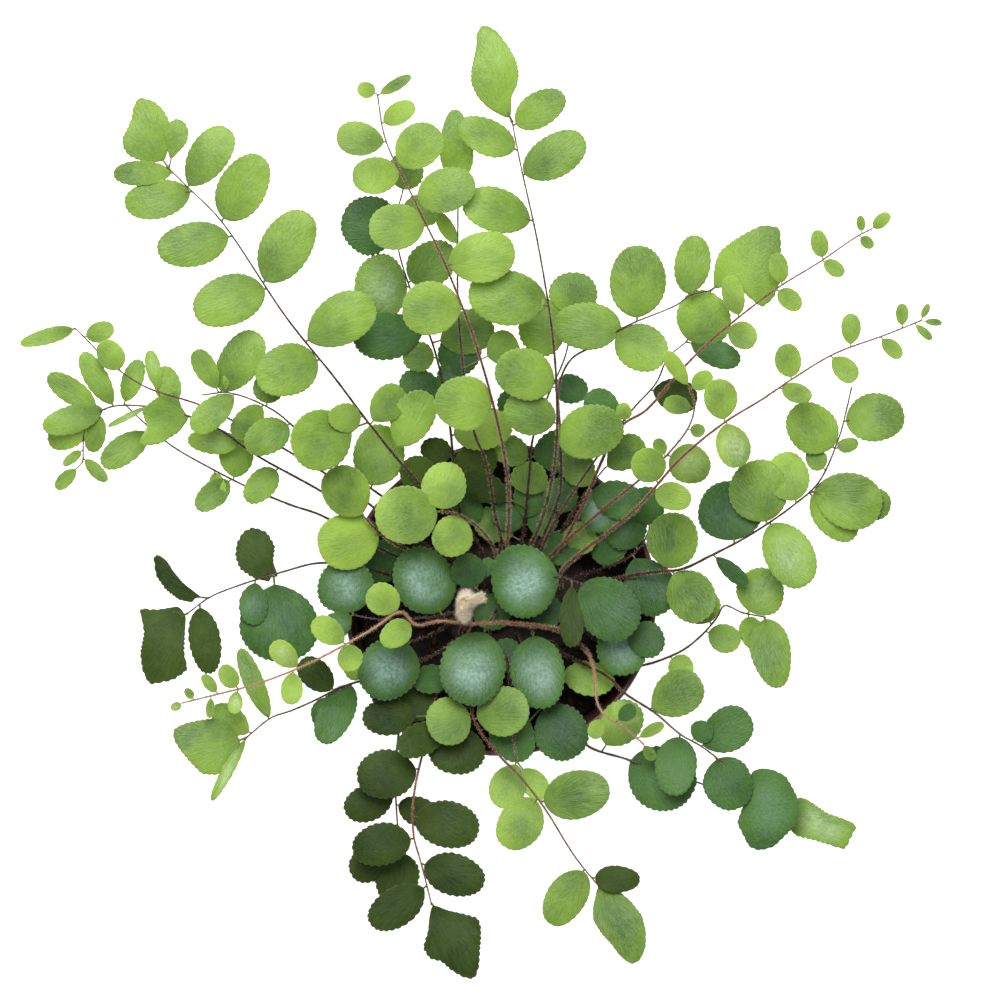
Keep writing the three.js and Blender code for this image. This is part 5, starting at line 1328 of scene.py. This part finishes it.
class FERN_OT_rhizome(bpy.types.Operator):
    """Builds the low scaly clump that the stipes stand in"""

    bl_idname = "fern.rhizome"
    bl_label = "Rhizome"

    def execute(self, context):
        s = context.scene.fern_rhizome
        half_length, half_width, top = s.half_length / MM, s.half_width / MM, s.top / MM
        low, sides = CLUMP_LOW, CLUMP_SIDES
        middle = (top + low) / 2
        angle = FULL_TURN * np.arange(sides) / sides
        tilt = np.linspace(math.pi / 2, -math.pi / 2, 26)[1:-1, None]
        out = np.cos(tilt) ** 0.45
        lump = 1 + 0.035 * np.sin(5 * angle + 1) + 0.03 * np.sin(9 * angle + 2.2) * np.cos(3 * tilt)
        knob = 0.35 * np.sin(11 * angle) * np.sin(7 * tilt + 2 * angle) * out
        rings = np.stack((
            CLUMP_X + half_length * out * lump * np.cos(angle) * 0.97,
            half_width * out * lump * np.sin(angle) * 0.97,
            middle + (top - low) / 2 * np.sign(tilt) * np.abs(np.sin(tilt)) ** 0.7 + knob - 0.35,
        ), -1)
        body = form((CLUMP_X, 0, top - 0.3), rings, (CLUMP_X, 0, low))
        rng = np.random.default_rng(CLUMP_SEED)
        turn = rng.uniform(0, FULL_TURN, CLUMP_SPOTS)
        line = np.column_stack((CLUMP_X
                                + 22 * np.sqrt(rng.uniform(0, 1, CLUMP_SPOTS)) * np.cos(turn),
                                15 * np.sqrt(rng.uniform(0, 1, CLUMP_SPOTS)) * np.sin(turn),
                                np.full(CLUMP_SPOTS, top - 0.9)))
        scales = bristles(line, 0.3, UP, CLUMP_SCALES, 2.6, 0.3, CLUMP_SCALE_SEED)
        flat = scales["points"].reshape(-1, 4, 3)
        reach = np.hypot((flat[:, 0, 0] - CLUMP_X) / half_length, flat[:, 0, 1] / half_width)
        keep = (reach < 0.85) & (flat[:, 3, 2] > flat[:, 0, 2])
        scales["points"] = flat[keep].reshape(-1, 3)
        scales["tris"] = scales["tris"][: 4 * int(keep.sum())]
        scales["data"] = {k: v.reshape(-1, 4)[keep].ravel() for k, v in scales["data"].items()}
        finishes = [rhizome_finish(tuple(s.colour)),
                    bristle_finish("rhizome scale", srgb(0x3E2618), srgb(0x1A0F0A), 0.6)]
        clump = build("rhizome_clump", [body, scales], finishes)
        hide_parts("rhizome")
        return {"FINISHED"}


class FERN_OT_fronds(bpy.types.Operator):
    """Builds every frond: stipe, rachis, bristles and leaflets, each frond as one piece"""

    bl_idname = "fern.fronds"
    bl_label = "Fronds"

    def execute(self, context):
        s = context.scene.fern_fronds
        blades = {
            look: blade_finish(name, tuple(getattr(s, look)), srgb(rim), srgb(pale_and_painted_sheen), *numbers)
            for look, (name, rim, pale_and_painted_sheen, *numbers) in BLADES.items()
        }
        rachis = rachis_finish(tuple(s.dark_rachis), tuple(s.red_rachis), tuple(s.tan_rachis))
        scale = bristle_finish("rachis scale", srgb(0xDCC8AA), srgb(0x9A7654), 0.5)
        for index, row in enumerate(FRONDS):
            name, age = row[:2]
            usual = "olive" if name in OLIVE_FRONDS else age
            leaflets = leaflets_of(row)
            looks = [special.get("look", usual) for *_, special in leaflets]
            forms = frond_forms(index, row, leaflets, looks, s)
            frond = build(name.replace("frond_", "") + "_frond", forms,
                          [rachis, scale, *(blades[look] for look in sorted(set(looks)))])
            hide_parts(name)
        return {"FINISHED"}


class FERN_OT_crozier(bpy.types.Operator):
    """Builds the young frond that is still rolled up in pale wool"""

    bl_idname = "fern.crozier"
    bl_label = "Crozier"

    def execute(self, context):
        s = context.scene.fern_crozier
        part = np.linspace(0, 1, COIL_STEPS + 1)
        angle = FULL_TURN * COIL_TURNS * part
        radius = COIL_RADIUS * (1 - part) + COIL_END * part
        up = COIL_RADIUS + radius * np.sin(angle)
        coil = np.column_stack((CROZIER_TOP[0] - COIL_LEAN * up,
                                CROZIER_TOP[1] - COIL_RADIUS + radius * np.cos(angle),
                                CROZIER_TOP[2] + up))
        places = np.vstack(((*CROZIER_FOOT, FOOT_HEIGHT), (*CROZIER_FOOT, COLLAR_HEIGHT),
                            CROZIER_NECK, CROZIER_TOP, coil))
        path = smooth_path(places, 150)
        share = walked(path) / walked(path)[-1]
        radius = s.radius / MM * (1 - 0.3 * share)
        reference = np.array((1.0, 0.0, 0.0))
        bare = tube(path, radius, 10, reference, warm=0.5)
        wool = bristles(path, radius, reference, CROZIER_WOOL, s.wool / MM, WOOL_WIDTH,
                        WOOL_SEED)
        arm = smooth_path(CROZIER_ARM, 12)
        slim = ARM_SHARE * s.radius / MM
        crosswise = np.array((0.0, 1.0, 0.0))
        bud = tube(arm, slim, 8, crosswise, warm=0.5)
        tuft = bristles(arm, slim, crosswise, ARM_WOOL, 0.8 * s.wool / MM, WOOL_WIDTH,
                        ARM_SEED)
        finishes = [bristle_finish("crozier skin", srgb(0xE4D6B4), srgb(0xB09A70), 0.6),
                    bristle_finish("pale wool", (*tuple(s.colour), 1.0), srgb(0xDCC8A4), 0.7)]
        crozier = build("wool_crozier", [bare, wool, bud, tuft], finishes)
        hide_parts("crozier")
        return {"FINISHED"}


class FERN_OT_stage(bpy.types.Operator):
    """Sets the pale floor, the soft lamp, the pale room and the camera straight above"""

    bl_idname = "fern.stage"
    bl_label = "Stage"

    def execute(self, context):
        s = context.scene.fern_stage
        f = Finish("pale floor")
        mottle = f.noise(f.where(), 12.0, 2)
        pale = f.mix(mottle, (0.93, 0.93, 0.92, 1.0), (0.95, 0.95, 0.945, 1.0))
        paint = f.finish(Base_Color=pale, Roughness=0.8, Specular_IOR_Level=0.1,
                         Emission_Color=(1.0, 1.0, 1.0, 1.0), Emission_Strength=0.8)
        half = FLOOR_HALF
        mesh = bpy.data.meshes.new("floor")
        mesh.from_pydata([(-half, -half, 0), (half, -half, 0), (half, half, 0), (-half, half, 0)],
                         [], [(0, 1, 2, 3)])
        mesh.materials.append(paint)
        floor = bpy.data.objects.new("floor", mesh)
        context.scene.collection.objects.link(floor)

        world = bpy.data.worlds.new("pale room")
        world.use_nodes = True
        room = world.node_tree.nodes["Background"]
        room.inputs["Color"].default_value = (0.95, 0.98, 1.0, 1.0)
        room.inputs["Strength"].default_value = s.ambient
        context.scene.world = world

        lamp("key", LAMP_PLACE, LAMP_AIM, LAMP_SIZE, s.key_power)

        lens = bpy.data.cameras.new("camera")
        lens.sensor_width = SENSOR
        lens.lens = LENS
        lens.clip_end = 100
        camera = bpy.data.objects.new("camera", lens)
        camera.location = (0, CAMERA_Y, s.camera_height)
        context.scene.collection.objects.link(camera)
        context.scene.camera = camera
        context.scene.view_settings.view_transform = "Standard"
        return {"FINISHED"}


def lamp(name, place, aim, size, power):
    """A square soft lamp that faces a point."""
    light = bpy.data.lights.new(name, "AREA")
    light.size = size
    light.energy = power
    thing = bpy.data.objects.new(name, light)
    thing.location = place
    away = Vector(place) - Vector(aim)
    thing.rotation_euler = away.to_track_quat("Z", "Y").to_euler()
    bpy.context.scene.collection.objects.link(thing)


OPERATORS = (FERN_OT_pot, FERN_OT_mix, FERN_OT_rhizome, FERN_OT_fronds, FERN_OT_crozier,
             FERN_OT_stage)


class FERN_PT_panel(bpy.types.Panel):
    """Lists the pieces of the fern and their sizes and colours"""

    bl_idname = "FERN_PT_panel"
    bl_label = "Potted button fern"
    bl_space_type = "VIEW_3D"
    bl_region_type = "UI"
    bl_category = "Fern"

    def draw(self, context):
        for operator, group in zip(OPERATORS, SETTINGS):
            box = self.layout.box()
            box.operator(operator.bl_idname)
            settings = getattr(context.scene, group)
            for key in settings.bl_rna.properties.keys():
                if key not in ("rna_type", "name"):
                    box.prop(settings, key)


def register():
    for name, group in SETTINGS.items():
        bpy.utils.register_class(group)
        setattr(bpy.types.Scene, name, bpy.props.PointerProperty(type=group))
    for cls in (*OPERATORS, FERN_PT_panel):
        bpy.utils.register_class(cls)


def unregister():
    for cls in reversed((*OPERATORS, FERN_PT_panel)):
        bpy.utils.unregister_class(cls)
    for name, group in SETTINGS.items():
        delattr(bpy.types.Scene, name)
        bpy.utils.unregister_class(group)


def main():
    register()
    for operator in OPERATORS:
        getattr(bpy.ops.fern, operator.bl_idname.split(".")[1])()


if __name__ == "__main__":
    main()
